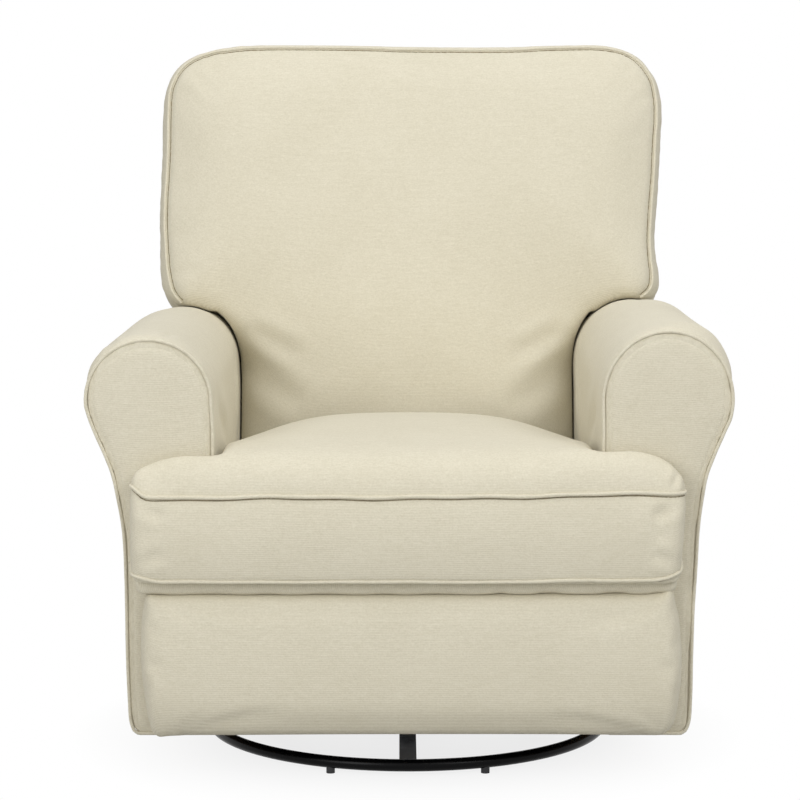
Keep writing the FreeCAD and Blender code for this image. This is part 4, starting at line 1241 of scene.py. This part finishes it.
    def creases(self) -> list[Crease]:
        """The tucks at the pad's upper corners, and the folds where it is wedged between the arms."""
        folds = [
            Crease((-0.372, -0.075, 0.6760), (-0.352, -0.090, 0.6800), 0.0022, 0.0030),
            Crease((0.384, -0.075, 0.6830), (0.364, -0.090, 0.6860), 0.0022, 0.0034),
        ]
        for side in (-1, 1):
            x = side * 0.262
            folds += [
                Crease((x, -0.085, 0.266), (side * 0.160, -0.10, 0.212), 0.013, 0.0050, side * -0.008),
                Crease((x, -0.070, 0.200), (side * 0.150, -0.10, 0.135), 0.018, 0.0045),
            ]
        return folds

    def finish(self, welts: WeltTree) -> None:
        """Lay folds and welts, lean the back and hang it on its body."""
        cloth = LinenWeave(Grain.ACROSS)
        halves = (self.pad, self.shell)
        for piece in halves:
            subdivided(piece)
        folds = self.creases()
        refined(self.pad, [fold.start for fold in folds[:2]], 0.022)
        folded(self.pad, folds)
        for piece in halves:
            place_points(piece, self.clear_of_arms(points_of(piece)))

        surface = Surface(*halves)
        ring = self.outline()
        inner = shrunk(ring, 0.0034)
        # the front seam goes down out of sight behind the arms, the rear one runs all round
        shown = slice(len(ring) - len(flowing(self.pins, False)), None)
        seams = ((-self.seam_depth - 0.001, -1, shown), (self.rear_depth - 0.013, 1, slice(None)))
        paths = []
        for depth, out, span in seams:
            seam = surface.laid(self.tucked(Facing.FRONT.lift(ring[span], depth)), 0.0)
            line = surface.laid(self.tucked(Facing.FRONT.lift(inner[span], depth + out * 0.004)), 0.0)
            paths.append((seam, line))
        for piece, (_, line) in zip(halves, paths):
            self.piping.press(piece, line)
        surface = Surface(*halves)
        trim = []
        for (seam, line), closed in zip(paths, (False, True)):
            trim += self.piping.sew(welts, surface, self.clear_of_arms(seam), line, closed, cloth)
        # the trim holds the welt cords and the dark tubes of painted seam shadow beside them
        welt = joined("back_welts_and_painted_seam_shadows", trim)
        for piece in (*halves, welt):
            place_points(piece, self.lean.placed(points_of(piece)))
        self.hang(self.pad, "back", cloth, "back_cushion", 0.7)
        self.hang(self.shell, "back", cloth, "back_rear_cover", 0.8)
        self.hang(welt, "back")


@dataclass
class SeatCushion(Upholstery):
    """A T-shaped box cushion: crowned between the arms, with two full ears in front of them."""

    half: float = 0.2595
    ear_half: float = 0.3730
    front: float = -0.4500
    ear_rear: float = -0.4045
    rear: float = 0.078
    low: float = 0.2915
    welt_top: float = 0.4000
    ear_rise: float = 0.0565
    crown_rise: float = 0.0165
    lip: float = 0.0125
    voxel: float = 0.0060
    cap: float = 0.010
    piping: Piping = field(default_factory=lambda: Piping(cord=0.0027, dip_depth=0.0024))
    pad: bpy.types.Object = field(init=False)

    def outline(self) -> Array:
        """The cushion seen from above.

        Returns:
            The outline's points.
        """
        return outlined([
            Corner(-self.ear_half, self.front, 0.017),
            Corner(0.0, self.front - 0.004, 2.0),
            Corner(self.ear_half, self.front, 0.017),
            Corner(self.ear_half, self.ear_rear, 0.012),
            Corner(self.half, self.ear_rear, 0.004),
            Corner(self.half, self.rear, 0.03),
            Corner(-self.half, self.rear, 0.03),
            Corner(-self.half, self.ear_rear, 0.004),
            Corner(-self.ear_half, self.ear_rear, 0.012),
        ])

    def wave(self, x: Array, length: float, height: float) -> Array:
        """A slow uneven wave along a seam, of a given length and height."""
        turn = 2 * np.pi * x / length
        return height * (0.6 * np.sin(turn) + 0.4 * np.sin(turn * 2.3 + 1.1))

    def seam_height(self, x: Array) -> Array:
        """Height of the upper seam along the front: it tilts a little and curls up at both ends.

        Args:
            x: places across.

        Returns:
            The height at each place.
        """
        tilt = 0.0042 * smoothstep(x, 0.05, 0.30) - 0.0008 * smoothstep(-x, 0.1, 0.3)
        curl = 0.013 * smoothstep(-x, 0.346, 0.376) + 0.001 * smoothstep(x, 0.34, 0.372)
        return self.welt_top + tilt + curl + self.wave(x, 0.23, 0.0014)

    def top_of(self, x: Array, y: Array, flank: Array, edge: Array) -> Array:
        """Height of the cushion's top above its upper seam.

        Args:
            x: places across.
            y: places front to back.
            flank: distance from the cushion's front and outer edges.
            edge: distance from the whole outline.

        Returns:
            The height at each place.
        """
        full = rounded(flank / 0.046)
        rounding = rounded(edge / 0.013)
        across = np.clip(1 - (np.abs(x) / (self.half + 0.02)) ** 3.3, 0, 1)
        along = smoothstep(y, self.front + 0.03, self.front + 0.25)
        side = 1 - 0.25 * smoothstep(np.abs(x), 0.30, self.ear_half)
        lift = self.ear_rise * full * side
        soft = np.minimum(lift, lift * 0.6 + self.ear_rise * 0.4 * rounding)
        return soft + self.crown_rise * across * along

    def sunk(self, x: Array, y: Array) -> Array:
        """How far the cushion's top sinks towards its rear, most of all beside the arms.

        Args:
            x: places across.
            y: places front to back.

        Returns:
            The drop at each place.
        """
        beside = np.clip((np.abs(x) / 0.228) ** 4.6, 0, 1.15)
        middle = np.clip((y + 0.26) / (self.rear + 0.26), 0, 1) ** 2
        slope = np.clip((y + 0.33) / (self.rear + 0.33), 0, 1)
        return (1 - np.minimum(beside, 1)) * 0.025 * middle + beside * 0.054 * slope

    def overhang(self, y: Array) -> Array:
        """How far the front band hangs down over the border, at places front to back."""
        return self.lip * smoothstep(-y, 0.424, 0.446)

    def cut(self, swelling: Swelling) -> None:
        """Cut the cushion."""
        ring = self.outline()
        self.pad = prism("seat_cushion_pad", ring, Facing.LEVEL, self.low, self.welt_top)
        remeshed(self.pad, self.voxel)
        points = points_of(self.pad)
        flat = Facing.LEVEL.flat(points)
        edge = distance_to(ring, flat)
        is_open = (ring[:, 1] < self.ear_rear - 0.010) | (np.abs(ring[:, 0]) > self.ear_half - 0.002)
        flank = distance_to(ring[is_open], flat)
        upper = smoothstep(points[:, 2], self.welt_top - 0.010, self.welt_top - 0.002)
        fore = smoothstep(-points[:, 1], -self.ear_rear - 0.02, -self.ear_rear + 0.01)
        bend = smoothstep(points[:, 2], self.low + 0.02, self.welt_top) * fore
        crown = self.top_of(points[:, 0], points[:, 1], flank, edge)
        crown -= self.sunk(points[:, 0], points[:, 1])
        points[:, 2] += upper * crown + bend * (self.seam_height(points[:, 0]) - self.welt_top)
        points = relaxed(points, edges_of(self.pad), 2)
        # the front band is fullest halfway up, narrower at its right foot and hangs over the border
        band = np.clip((points[:, 2] - self.low) / (self.welt_top - self.low), 0, 1)
        belly = 0.0075 * np.sin(np.pi * band) ** 0.8 * smoothstep(-points[:, 1], 0.40, 0.44)
        points[:, 1] -= belly * bell(edge, 0.010)
        points[:, 0] -= 0.007 * smoothstep(points[:, 0], 0.30, 0.37) * (1 - band)
        points[:, 2] -= self.overhang(points[:, 1]) * (1 - np.clip(band / 0.6, 0, 1)) ** 1.5
        place_points(self.pad, points)
        foot = points[:, 2] + self.overhang(points[:, 1])
        under = 1 - smoothstep(foot, self.low + 0.004, self.low + 0.012)
        seam = bell(points[:, 2] - self.seam_height(points[:, 0]), SEAM_BAND) * (edge < 0.010)
        hidden = smoothstep(points[:, 1], self.ear_rear - 0.02, self.ear_rear + 0.03) * (edge < 0.02)
        swelling.take(self.pad, np.clip(under + 0.85 * seam + 0.9 * hidden, 0, 1), self.cap)

    def creases(self) -> list[Crease]:
        """Small folds on the ears and along the front band."""
        folds = []
        for side in (-1, 1):
            ear, band = side * 0.362, side * 0.325
            folds += [
                Crease((ear, -0.44, 0.39), (band, -0.457, 0.37), 0.008, 0.0030),
                Crease((ear, -0.44, 0.31), (band, -0.457, 0.325), 0.008, 0.0030),
            ]
        return folds + [
            Crease((0.358, -0.425, 0.432), (0.354, -0.452, 0.412), 0.004, 0.0035),
            Crease((0.340, -0.45, 0.398), (0.335, -0.458, 0.330), 0.010, 0.0025),
        ]

    def finish(self, welts: WeltTree) -> None:
        """Press the folds and lay the two welts."""
        cloth = LinenWeave(Grain.ACROSS)
        subdivided(self.pad)
        folded(self.pad, self.creases())
        surface = Surface(self.pad)
        ring = self.outline()
        x, y = ring[:, 0], ring[:, 1]
        curl = smoothstep(np.abs(x), 0.325, 0.37) * (y < self.ear_rear) * 0.009
        tilt = 0.004 * smoothstep(x, 0.1, 0.3)
        lower = self.low + 0.005 + self.wave(x + 0.1, 0.24, 0.0012) + curl + tilt - self.overhang(y)
        paths = []
        for height in (self.seam_height(x), lower):
            seam = surface.laid(Facing.LEVEL.lift(ring, height), 0.0)
            line = surface.laid(Facing.LEVEL.lift(ring, height - self.piping.cord * 1.45), 0.0)
            self.piping.press(self.pad, line)
            paths.append((seam, line))
        surface = Surface(self.pad)
        trim = []
        for seam, line in paths:
            trim += self.piping.sew(welts, surface, seam, line, True, cloth)
        # the trim holds the welt cords and the dark tubes of painted seam shadow beside them
        welt = joined("seat_cushion_welts", trim)
        self.hang(self.pad, "seat", cloth, "seat_cushion", 0.75)
        self.hang(welt, "seat")


@dataclass
class Arm(Upholstery):
    """One rolled arm: a padded cover, a front panel framed by a welt, and a rear panel."""

    side: int = 1
    inner: float = 0.2625
    low: float = 0.063
    front: float = -0.401
    rear: float = 0.309
    panel: float = 0.010
    middle: Point2 = (0.351, 0.523)
    roll: float = 0.0865
    rise: float = 0.0840
    voxel: float = 0.0072
    cap: float = 0.010
    outer_fill: float = -0.0010
    # where the back's rear posts sweep over the roll, and how far from the pivot the frame's post reaches
    swept: float = 0.375
    post_reach: float = 0.298
    panel_voxel: float = 0.0045
    panel_crown: float = 0.0045
    # from the widest place of the roll down its long hollow flank to the hem
    flank: tuple[Point2, ...] = (
        (0.4320, 0.4973), (0.4268, 0.4837), (0.4212, 0.4701), (0.4150, 0.4565), (0.4095, 0.4429),
        (0.4043, 0.4293), (0.4003, 0.4157), (0.3974, 0.4020), (0.3950, 0.3884), (0.3900, 0.3610),
        (0.3872, 0.3336), (0.3858, 0.3000), (0.3850, 0.2400), (0.3845, 0.1700), (0.3826, 0.1128),
        (0.3805, 0.0800), (0.3745, 0.0640),
    )
    piping: Piping = field(default_factory=lambda: Piping(cord=0.0023))
    lean: Lean = field(default_factory=Lean)
    cover: bpy.types.Object = field(init=False)
    face: bpy.types.Object = field(init=False)
    back: bpy.types.Object = field(init=False)

    @property
    def word(self) -> str:
        """The arm's side in words, as the sub-parts are named."""
        return "right" if self.side > 0 else "left"

    def crest(self, x: Array) -> Array:
        """Height of the top of the roll at places across; beside the roll, its middle's height."""
        share = np.clip(1 - ((np.abs(x) - self.middle[0]) / self.roll) ** 2, 0, 1)
        return self.middle[1] + self.rise * np.sqrt(share)

    def passed(self, x: Array) -> Array:
        """Radius about the recline pivot at which the back clears the roll and the post in it."""
        reach = self.crest(np.minimum(np.abs(x), self.swept)) - self.lean.pivot_z
        return np.maximum(reach, np.minimum(self.post_reach, reach + 0.008))

    def profile(self, inset: float = 0.0) -> Array:
        """The arm seen from the front: straight inside, a roll above a hollow neck outside.

        Args:
            inset: how far it is drawn in.

        Returns:
            The outline's points, from the inner lower corner round to the outer one.
        """
        turns = np.linspace(math.pi, math.radians(-6), 60)
        over = np.array(self.middle) + np.stack(
            [(self.roll - inset) * np.cos(turns), (self.rise - inset) * np.sin(turns)], 1
        )
        down = flowing([tuple(over[-1]), *[(x - inset, z) for x, z in self.flank]], False)
        inner = self.inner + inset
        foot = self.low + inset
        inside = np.array([[inner + 0.004, foot], [inner, foot + 0.004], [inner, self.middle[1] - 0.04]])
        ring = np.concatenate([inside, over, down[1:-1], [[down[-1][0] - 0.004, foot]]]) * (self.side, 1)
        return evened(ring)

    def behind_clear(self, points: Array) -> Array:
        """Curve the rear of the roll down along the path that the back swings on.

        Args:
            points: vertex positions.

        Returns:
            The points, none of them outside that path.
        """
        result = points.copy()
        y = points[:, 1] - self.lean.pivot_y
        z = points[:, 2] - self.lean.pivot_z
        away = np.hypot(y, z).clip(1e-6)
        room = self.passed(points[:, 0])
        outside = (y > -0.03) & (z > 0) & (away > room)
        pull = np.where(outside, room / away, 1.0)
        result[:, 1] = self.lean.pivot_y + y * pull
        result[:, 2] = self.lean.pivot_z + z * pull
        return result

    def cut(self, swelling: Swelling) -> None:
        """Cut the cover, the front panel and the rear panel."""
        start = self.front + self.panel * 0.5
        stop = self.rear - self.panel * 0.5
        self.cover = prism(f"arm_cover_{self.word}_cloth", self.profile(), Facing.FRONT, start, stop)
        remeshed(self.cover, self.voxel)
        points = relaxed(points_of(self.cover), edges_of(self.cover), 2)
        place_points(self.cover, points)
        points += normals_of(self.cover) * self.stuffed(points, start).reshape(-1, 1)
        place_points(self.cover, self.behind_clear(points))
        swelling.take(self.cover, self.held(points_of(self.cover), start, stop), self.cap)
        ends = (("front", self.front + self.panel, self.front), ("rear", self.rear - self.panel, self.rear))
        self.face, self.back = (
            self.cut_panel(f"arm_{end}_{self.word}_cloth", seat, out, swelling) for end, seat, out in ends
        )

    def stuffed(self, points: Array, start: float) -> Array:
        """How far the stuffing lifts the cover on its roll.

        Args:
            points: vertex positions.
            start: depth of the cover's front end.

        Returns:
            The lift at each vertex.
        """
        x, y, z = np.abs(points[:, 0]), points[:, 1], points[:, 2]
        along = np.clip((y - start) / 0.045, 0, 1)
        shoulder = rounded(along) * (1 - smoothstep(y, 0.05, 0.20))
        outer = smoothstep(x, self.middle[0] - 0.03, self.middle[0] + 0.03)
        upper = smoothstep(z, 0.53, 0.57) * (0.45 + 0.55 * outer)
        turn = np.arctan2(z - self.middle[1], x - self.middle[0])
        outside = bell(turn - math.radians(58), math.radians(26)) * smoothstep(along, 0.3, 1.0)
        return (0.0075 * upper + self.outer_fill * outside) * shoulder

    def held(self, points: Array, start: float, stop: float) -> Array:
        """How firmly the cover is held while it swells, at its ends, its foot and its hidden places.

        Args:
            points: vertex positions.
            start: depth of the cover's front end.
            stop: depth of its rear end.

        Returns:
            The hold at each vertex, from 0 to 1.
        """
        x, y, z = np.abs(points[:, 0]), points[:, 1], points[:, 2]
        at_end = 1 - smoothstep(np.minimum(y - start, stop - y), 0.002, 0.02)
        inside = 1 - smoothstep(x, self.inner + 0.003, self.inner + 0.015)
        low_inside = inside * (1 - smoothstep(z, 0.50, 0.54))
        foot = 1 - smoothstep(z, self.low + 0.004, self.low + 0.03)
        swept = smoothstep(y, 0.10, 0.16) * smoothstep(z, 0.38, 0.46)
        side = smoothstep(0.47 - z, 0.0, 0.05) * 0.75
        return np.clip(at_end + 0.95 * low_inside + foot + 0.95 * swept + side, 0, 1)

    def cut_panel(self, name: str, seat: float, out: float, swelling: Swelling) -> bpy.types.Object:
        """Cut the padded panel that closes one end of the arm.

        Args:
            name: the panel's name.
            seat: depth of its seam on the cover.
            out: depth of its crown.
            swelling: the simulation that fills it.

        Returns:
            The panel.
        """
        ring = self.profile(0.0045)
        direction = 1 if out > seat else -1
        flat = seat + direction * 0.005
        panel = prism(name, ring, Facing.FRONT, seat - direction * 0.008, flat)
        remeshed(panel, self.panel_voxel)
        points = points_of(panel)
        edge = distance_to(ring, Facing.FRONT.flat(points))
        proud = smoothstep(direction * (points[:, 1] - flat), -0.004, -0.001)
        points[:, 1] += direction * proud * self.panel_crown * (1 - np.exp(-(edge / 0.030)))
        place_points(panel, self.behind_clear(relaxed(points, edges_of(panel), 3)))
        behind = 1 - smoothstep(direction * (points_of(panel)[:, 1] - seat), -0.003, 0.002)
        swelling.take(panel, np.clip(behind + bell(edge, SEAM_BAND), 0, 1), 0.003)
        return panel

    def creases(self) -> list[Crease]:
        """Pulls in the cover where it turns in beside the back, and along its front."""
        x = self.side * (self.inner + 0.004)
        pulls = [
            Crease((x, -0.30, 0.50), (x, -0.10, 0.44), 0.016, 0.0035),
            Crease((x, 0.10, 0.545), (x, 0.06, 0.42), 0.014, 0.0060),
        ]
        gathers = (
            ((0.40, 0.600), (0.41, -0.30, 0.59)),
            ((0.33, 0.607), (0.325, -0.31, 0.608)),
            ((0.436, 0.53), (0.437, -0.31, 0.525)),
        )
        return pulls + [
            Crease((self.side * u, -0.385, v), (self.side * end, depth, height), 0.006, 0.0014)
            for (u, v), (end, depth, height) in gathers
        ]

    def finish(self, welts: WeltTree) -> None:
        """Press the folds, frame both panels with welts and hang the arm on the seat."""
        cover_cloth = LinenWeave(Grain.AROUND)
        panel_cloth = LinenWeave(Grain.ACROSS)
        for piece in (self.cover, self.face, self.back):
            subdivided(piece)
        folded(self.cover, self.creases())
        trim = []
        for panel, depth, out in ((self.face, self.front + 0.006, -1), (self.back, self.rear - 0.006, 1)):
            seam = self.behind_clear(Facing.FRONT.lift(self.profile(0.0020), depth))
            line = self.behind_clear(Facing.FRONT.lift(self.profile(0.0052), depth + out * 0.003))
            line = Surface(panel).laid(line, 0.0)
            self.piping.press(panel, line)
            trim.append(welts.along("cord", seam, False, self.piping.cord, cover_cloth))
            # beside the cord, a dark tube of painted seam shadow
            trim.append(self.piping.painted_seam_shadow(welts, Surface(panel), line, False))
        welt = joined(f"arm_welts_{self.word}", trim)
        self.hang(self.cover, "seat", cover_cloth, f"arm_cover_{self.word}", 0.8)
        self.hang(self.face, "seat", panel_cloth, f"arm_front_panel_{self.word}", 0.8)
        self.hang(self.back, "seat", panel_cloth, "arm_rear_panels", 0.8)
        self.hang(welt, "seat")


@dataclass
class FlatPanel(Upholstery):
    """A padded board: the footrest, the rear apron or the border over the footrest."""

    name: str
    body: str
    stands_for: str
    half: float
    low: float
    high: float
    seat: float
    seam: float
    crown: float
    corner: float
    grain: Grain = Grain.ACROSS
    voxel: float = 0.006
    cap: float = 0.006
    soft_edge: float = 0.03
    turned_under: float = 0.0
    barrel: float = 0.0
    pins: tuple[Point2, ...] = ()
    pad: bpy.types.Object = field(init=False)

    def outline(self) -> Array:
        """The panel seen from the front.

        Returns:
            The outline's points.
        """
        if self.pins:
            return flowing(self.pins, True)
        middle = (self.low + self.high) / 2
        return outlined([
            Corner(-self.half, self.low, self.corner),
            Corner(0.0, self.low - 0.0015, 4.0),
            Corner(self.half, self.low, self.corner),
            Corner(self.half + 0.001, middle, 0.4),
            Corner(self.half, self.high, self.corner * 0.7),
            Corner(-self.half, self.high, self.corner * 0.7),
            Corner(-self.half - 0.001, middle, 0.4),
        ])

    def cut(self, swelling: Swelling) -> None:
        """Cut the panel."""
        ring = self.outline()
        direction = 1 if self.crown > self.seat else -1
        self.pad = prism(self.name, ring, Facing.FRONT, self.seat, self.seam)
        remeshed(self.pad, self.voxel)
        points = points_of(self.pad)
        edge = distance_to(ring, Facing.FRONT.flat(points))
        proud = smoothstep(direction * (points[:, 1] - self.seam), -0.006, -0.001)
        shoulder = rounded(edge / self.soft_edge)
        if self.turned_under:
            shoulder *= rounded((points[:, 2] - self.low) / self.turned_under)
        height = (2 * points[:, 2] - self.low - self.high) / (self.high - self.low)
        shoulder *= 1 - self.barrel + self.barrel * np.clip(1 - height ** 2, 0, 1)
        points[:, 1] += direction * proud * abs(self.crown - self.seam) * shoulder
        points = relaxed(points, edges_of(self.pad), 3)
        place_points(self.pad, points)
        behind = 1 - smoothstep(direction * (points[:, 1] - self.seat), 0.002, 0.008)
        swelling.take(self.pad, behind, self.cap)

    def finish(self, welts: WeltTree) -> None:
        """Smooth the panel and hang it on its body; it has no welt."""
        subdivided(self.pad)
        self.hang(self.pad, self.body, LinenWeave(self.grain), self.stands_for, 0.7)


# ---------------------------------------------------------------- frame, base and studio


@dataclass
class Ironwork:
    """The rigid sub-parts that keep their own shapes, each in its real finish."""

    nodes: dict[str, bpy.types.Object]
    coated: tuple[str, ...] = ("base_ring", "base_spokes")
    nylon: tuple[str, ...] = ("floor_glides", "glide_stops")
    plated: tuple[str, ...] = (
        "swivel_lower_plate", "swivel_upper_plate", "swivel_balls", "swivel_bolt", "swing_upper_pins",
        "swing_lower_pins", "footrest_mount_rivets", "recline_pins", "drive_link_rivets", "rear_link_rivets",
        "carrier_link_rivets", "footrest_bracket_rivets", "seat_springs", "back_springs",
    )
    painted: tuple[str, ...] = (
        "glider_stand_left", "glider_stand_right", "stand_tie_tube", "front_swing_links", "rear_swing_links",
        "carriage_plate_left", "carriage_plate_right", "front_cross_rail", "rear_cross_rail",
        "mechanism_plate_left", "mechanism_plate_right", "recline_brackets", "footrest_drive_links",
        "footrest_rear_links", "footrest_carrier_links", "carrier_cross_tube", "footrest_front_links",
        "footrest_brackets",
    )
    boards: tuple[str, ...] = (
        "seat_side_rails", "seat_front_rail", "seat_rear_rail", "arm_frame_left", "arm_frame_right",
        "back_stile_left", "back_stile_right", "back_wing_posts", "back_top_rail", "back_middle_rail",
        "back_bottom_rail", "footrest_board",
    )

    def dress(self) -> None:
        """Give every rigid sub-part its finish."""
        pairs: list[tuple[tuple[str, ...], Finish]] = [
            (self.coated, GLOSS_COAT),
            (self.nylon, MOULDED_NYLON),
            (self.plated, PLATED_STEEL),
            (self.painted, DULL_COAT),
            (self.boards, BirchPlywood()),
        ]
        for names, finish in pairs:
            for name in names:
                finish.dress(self.nodes[name])


@dataclass
class Lamp:
    """One soft lamp aimed at the chair."""

    name: str
    place: tuple[float, float, float]
    size: float
    watts: float
    aim: tuple[float, float, float] = (0.0, -0.1, 0.5)

    def hang(self) -> None:
        """Hang the lamp."""
        light = bpy.data.lights.new(self.name, "AREA")
        light.shape = "DISK"
        light.size = self.size
        light.energy = self.watts
        lamp = placed_object(self.name, light)
        lamp.location = self.place
        lamp.rotation_euler = (Vector(self.aim) - Vector(self.place)).to_track_quat("-Z", "Y").to_euler()


@dataclass
class Studio:
    """A pale floor, soft light all round and the camera in front."""

    eye: tuple[float, float, float] = (-0.011, -3.941, 0.914)
    pitch_degrees: float = 83.72
    lens: float = 119.0
    ambient: float = 0.43
    # the floor keeps its shadow round its middle and fades to white between two distances from it
    middle: tuple[float, float, float] = (0.0, -0.09, 0.0)
    pool: tuple[float, float] = (0.20, 0.50)
    least_white: float = 0.80
    lamps: tuple[Lamp, ...] = (
        Lamp("key", (2.2, -3.0, 2.9), 2.4, 64.0),
        Lamp("fill", (-2.2, -3.4, 1.7), 2.4, 56.0),
        Lamp("top", (0.0, -0.4, 3.4), 2.4, 27.0),
        Lamp("rim", (0.6, 3.4, 2.4), 2.4, 14.0),
    )

    def build(self) -> None:
        """Set up the floor, the world, the lamps and the camera."""
        self.lay_floor()
        self.light_world()
        for lamp in self.lamps:
            lamp.hang()
        camera = bpy.data.cameras.new("camera")
        camera.lens = self.lens
        camera.sensor_width = 36.0
        camera.clip_end = 60.0
        stand = placed_object("camera", camera)
        stand.location = self.eye
        stand.rotation_euler = (math.radians(self.pitch_degrees), 0.0, 0.0)
        bpy.context.scene.camera = stand
        bpy.context.scene.view_settings.view_transform = "Standard"

    def lay_floor(self) -> None:
        """A wide pale floor that keeps a soft shadow and fades to white."""
        reach = 14.0
        corners = [(-reach, -reach, 0), (reach, -reach, 0), (reach, reach, 0), (-reach, reach, 0)]
        floor = mesh_object("floor", corners, [(0, 1, 2, 3)])
        made = bpy.data.materials.new("pale studio floor")
        made.use_nodes = True
        nodes = NodeTree(made.node_tree)
        matt = nodes.add("ShaderNodeBsdfPrincipled", {"Base Color": srgb("DADBDC"), "Roughness": 0.9})
        white = nodes.add("ShaderNodeEmission", {"Color": (1, 1, 1, 1), "Strength": 1.0})
        place = nodes.add("ShaderNodeTexCoord", out="Object")
        away = nodes.add(
            "ShaderNodeVectorMath", {0: place, 1: self.middle}, out="Value", operation="DISTANCE"
        )
        near, far = self.pool
        fade = nodes.add("ShaderNodeMapRange", {0: away, 1: near, 2: far, 3: self.least_white, 4: 1.0})
        mixed = nodes.add("ShaderNodeMixShader", {0: fade, 1: matt, 2: white})
        # what lights the chair from below is a plain grey floor
        real = nodes.add("ShaderNodeBsdfDiffuse", {"Color": srgb("B9B9B8")})
        surface = nodes.add("ShaderNodeMixShader", {0: self.seen(nodes), 1: real, 2: mixed})
        nodes.add("ShaderNodeOutputMaterial", {"Surface": surface})
        floor.data.materials.append(made)

    def seen(self, nodes: NodeTree) -> bpy.types.NodeSocket:
        """1 where a ray comes from the camera, from a gloss or through glass, otherwise 0.

        Args:
            nodes: the tree that needs it.

        Returns:
            The value's socket.
        """
        rays = nodes.add("ShaderNodeLightPath").node.outputs
        result = rays["Is Camera Ray"]
        for other in ("Is Glossy Ray", "Is Transmission Ray"):
            result = nodes.add("ShaderNodeMath", {0: result, 1: rays[other]}, operation="MAXIMUM")
        return result

    def light_world(self) -> None:
        """Even light from all round, and white where it is seen directly."""
        world = bpy.data.worlds.new("studio")
        bpy.context.scene.world = world
        world.use_nodes = True
        nodes = NodeTree(world.node_tree)
        strength = nodes.add("ShaderNodeMapRange", {
            0: self.seen(nodes), 1: 0.0, 2: 1.0, 3: self.ambient, 4: 1.0,
        })
        light = nodes.add("ShaderNodeBackground", {"Color": (1, 1, 1, 1), "Strength": strength})
        nodes.add("ShaderNodeOutputWorld", {"Surface": light})


@dataclass
class GliderRecliner:
    """The whole chair."""

    # the footrest's hand-cut cover seen from the front, its pins from the upper left down and round
    FOOTREST_PINS = (
        (-0.3545, 0.2640), (-0.3592, 0.2480), (-0.3615, 0.2158), (-0.3615, 0.1598), (-0.3595, 0.1310),
        (-0.3560, 0.0967), (-0.3518, 0.0790), (-0.3455, 0.0670), (-0.3380, 0.0640), (-0.3046, 0.0651),
        (-0.2306, 0.0652), (-0.1000, 0.0662), (0.0155, 0.0666), (0.2007, 0.0666), (0.3200, 0.0656),
        (0.3396, 0.0662), (0.3515, 0.0710), (0.3600, 0.0810), (0.3650, 0.0960), (0.3686, 0.1186),
        (0.3705, 0.1446), (0.3710, 0.1707), (0.3700, 0.1967), (0.3685, 0.2226), (0.3642, 0.2470),
        (0.3600, 0.2680), (0.3555, 0.2775), (0.3500, 0.2755), (0.3440, 0.2704), (0.3300, 0.2684),
        (0.2000, 0.2676), (0.0000, 0.2670), (-0.2000, 0.2668), (-0.3400, 0.2664),
    )

    # the right arm is stuffed a little fuller down its flank
    RIGHT_FLANK = (
        (0.4370, 0.4973), (0.4308, 0.4837), (0.4250, 0.4701), (0.4190, 0.4565), (0.4138, 0.4429),
        (0.4085, 0.4293), (0.4047, 0.4157), (0.4022, 0.4020), (0.4002, 0.3884), (0.3966, 0.3610),
        (0.3946, 0.3336), (0.3932, 0.3000), (0.3900, 0.2400), (0.3885, 0.1700), (0.3878, 0.1128),
        (0.3856, 0.0800), (0.3790, 0.0640),
    )

    nodes: dict[str, bpy.types.Object]

    def parts(self) -> list[Upholstery]:
        """The padded sub-assemblies.

        Returns:
            The sub-assemblies, in the order they are built.
        """
        left = Arm(side=-1)
        right = Arm(side=1, rise=0.0955, roll=0.0895, outer_fill=0.0075, flank=self.RIGHT_FLANK)
        footrest = FlatPanel(
            "footrest_panel", "footrest", "footrest_pad", half=0.366, low=0.0655, high=0.2610,
            seat=-0.4072, seam=-0.4280, crown=-0.4480, corner=0.028, voxel=0.0050, cap=0.0035,
            soft_edge=0.015, turned_under=0.060, barrel=0.45, pins=self.FOOTREST_PINS,
        )
        apron = FlatPanel(
            "rear_apron_cloth", "seat", "rear_apron", half=0.2612, low=0.0705, high=0.2615,
            seat=0.2935, seam=0.302, crown=0.3075, corner=0.012, cap=0.003,
        )
        border = FlatPanel(
            "front_border_cloth", "seat", "front_border", half=0.362, low=0.2625, high=0.2925,
            seat=-0.4042, seam=-0.4310, crown=-0.4350, corner=0.008, grain=Grain.UPRIGHT,
            voxel=0.0042, cap=0.002, soft_edge=0.007, pins=self.gathered(),
        )
        return [BackRest(arms=(left, right)), SeatCushion(), left, right, footrest, apron, border]

    def gathered(self) -> tuple[Point2, ...]:
        """The border's outline: its lower edge waves where the cloth is gathered."""
        lower = []
        for k in range(45):
            x = -0.362 + 0.717 * k / 44
            wave = 0.0011 * math.sin(k * 1.33 + 0.7 * math.sin(k * 0.61))
            lift = wave + 0.0013 * smoothstep(np.array(x), 0.0, 0.3)
            lower.append((x, 0.2632 + float(lift)))
        upper = [(x, 0.2925) for x in (0.3612, 0.20, -0.20, -0.366)]
        return (*lower, (0.3605, 0.270), *upper, (-0.366, 0.268))

    def build(self) -> None:
        """Build and dress the whole chair."""
        Ironwork(self.nodes).dress()
        parts = self.parts()
        swelling = Swelling()
        for part in parts:
            part.cut(swelling)
        swelling.run()
        welts = WeltTree()
        for part in parts:
            part.finish(welts)


def main() -> None:
    """Load the frame, build the chair and its studio."""
    logging.basicConfig(level=logging.INFO, format="%(message)s")
    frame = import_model()
    Studio().build()
    GliderRecliner(frame["nodes"]).build()


if __name__ == "__main__":
    main()
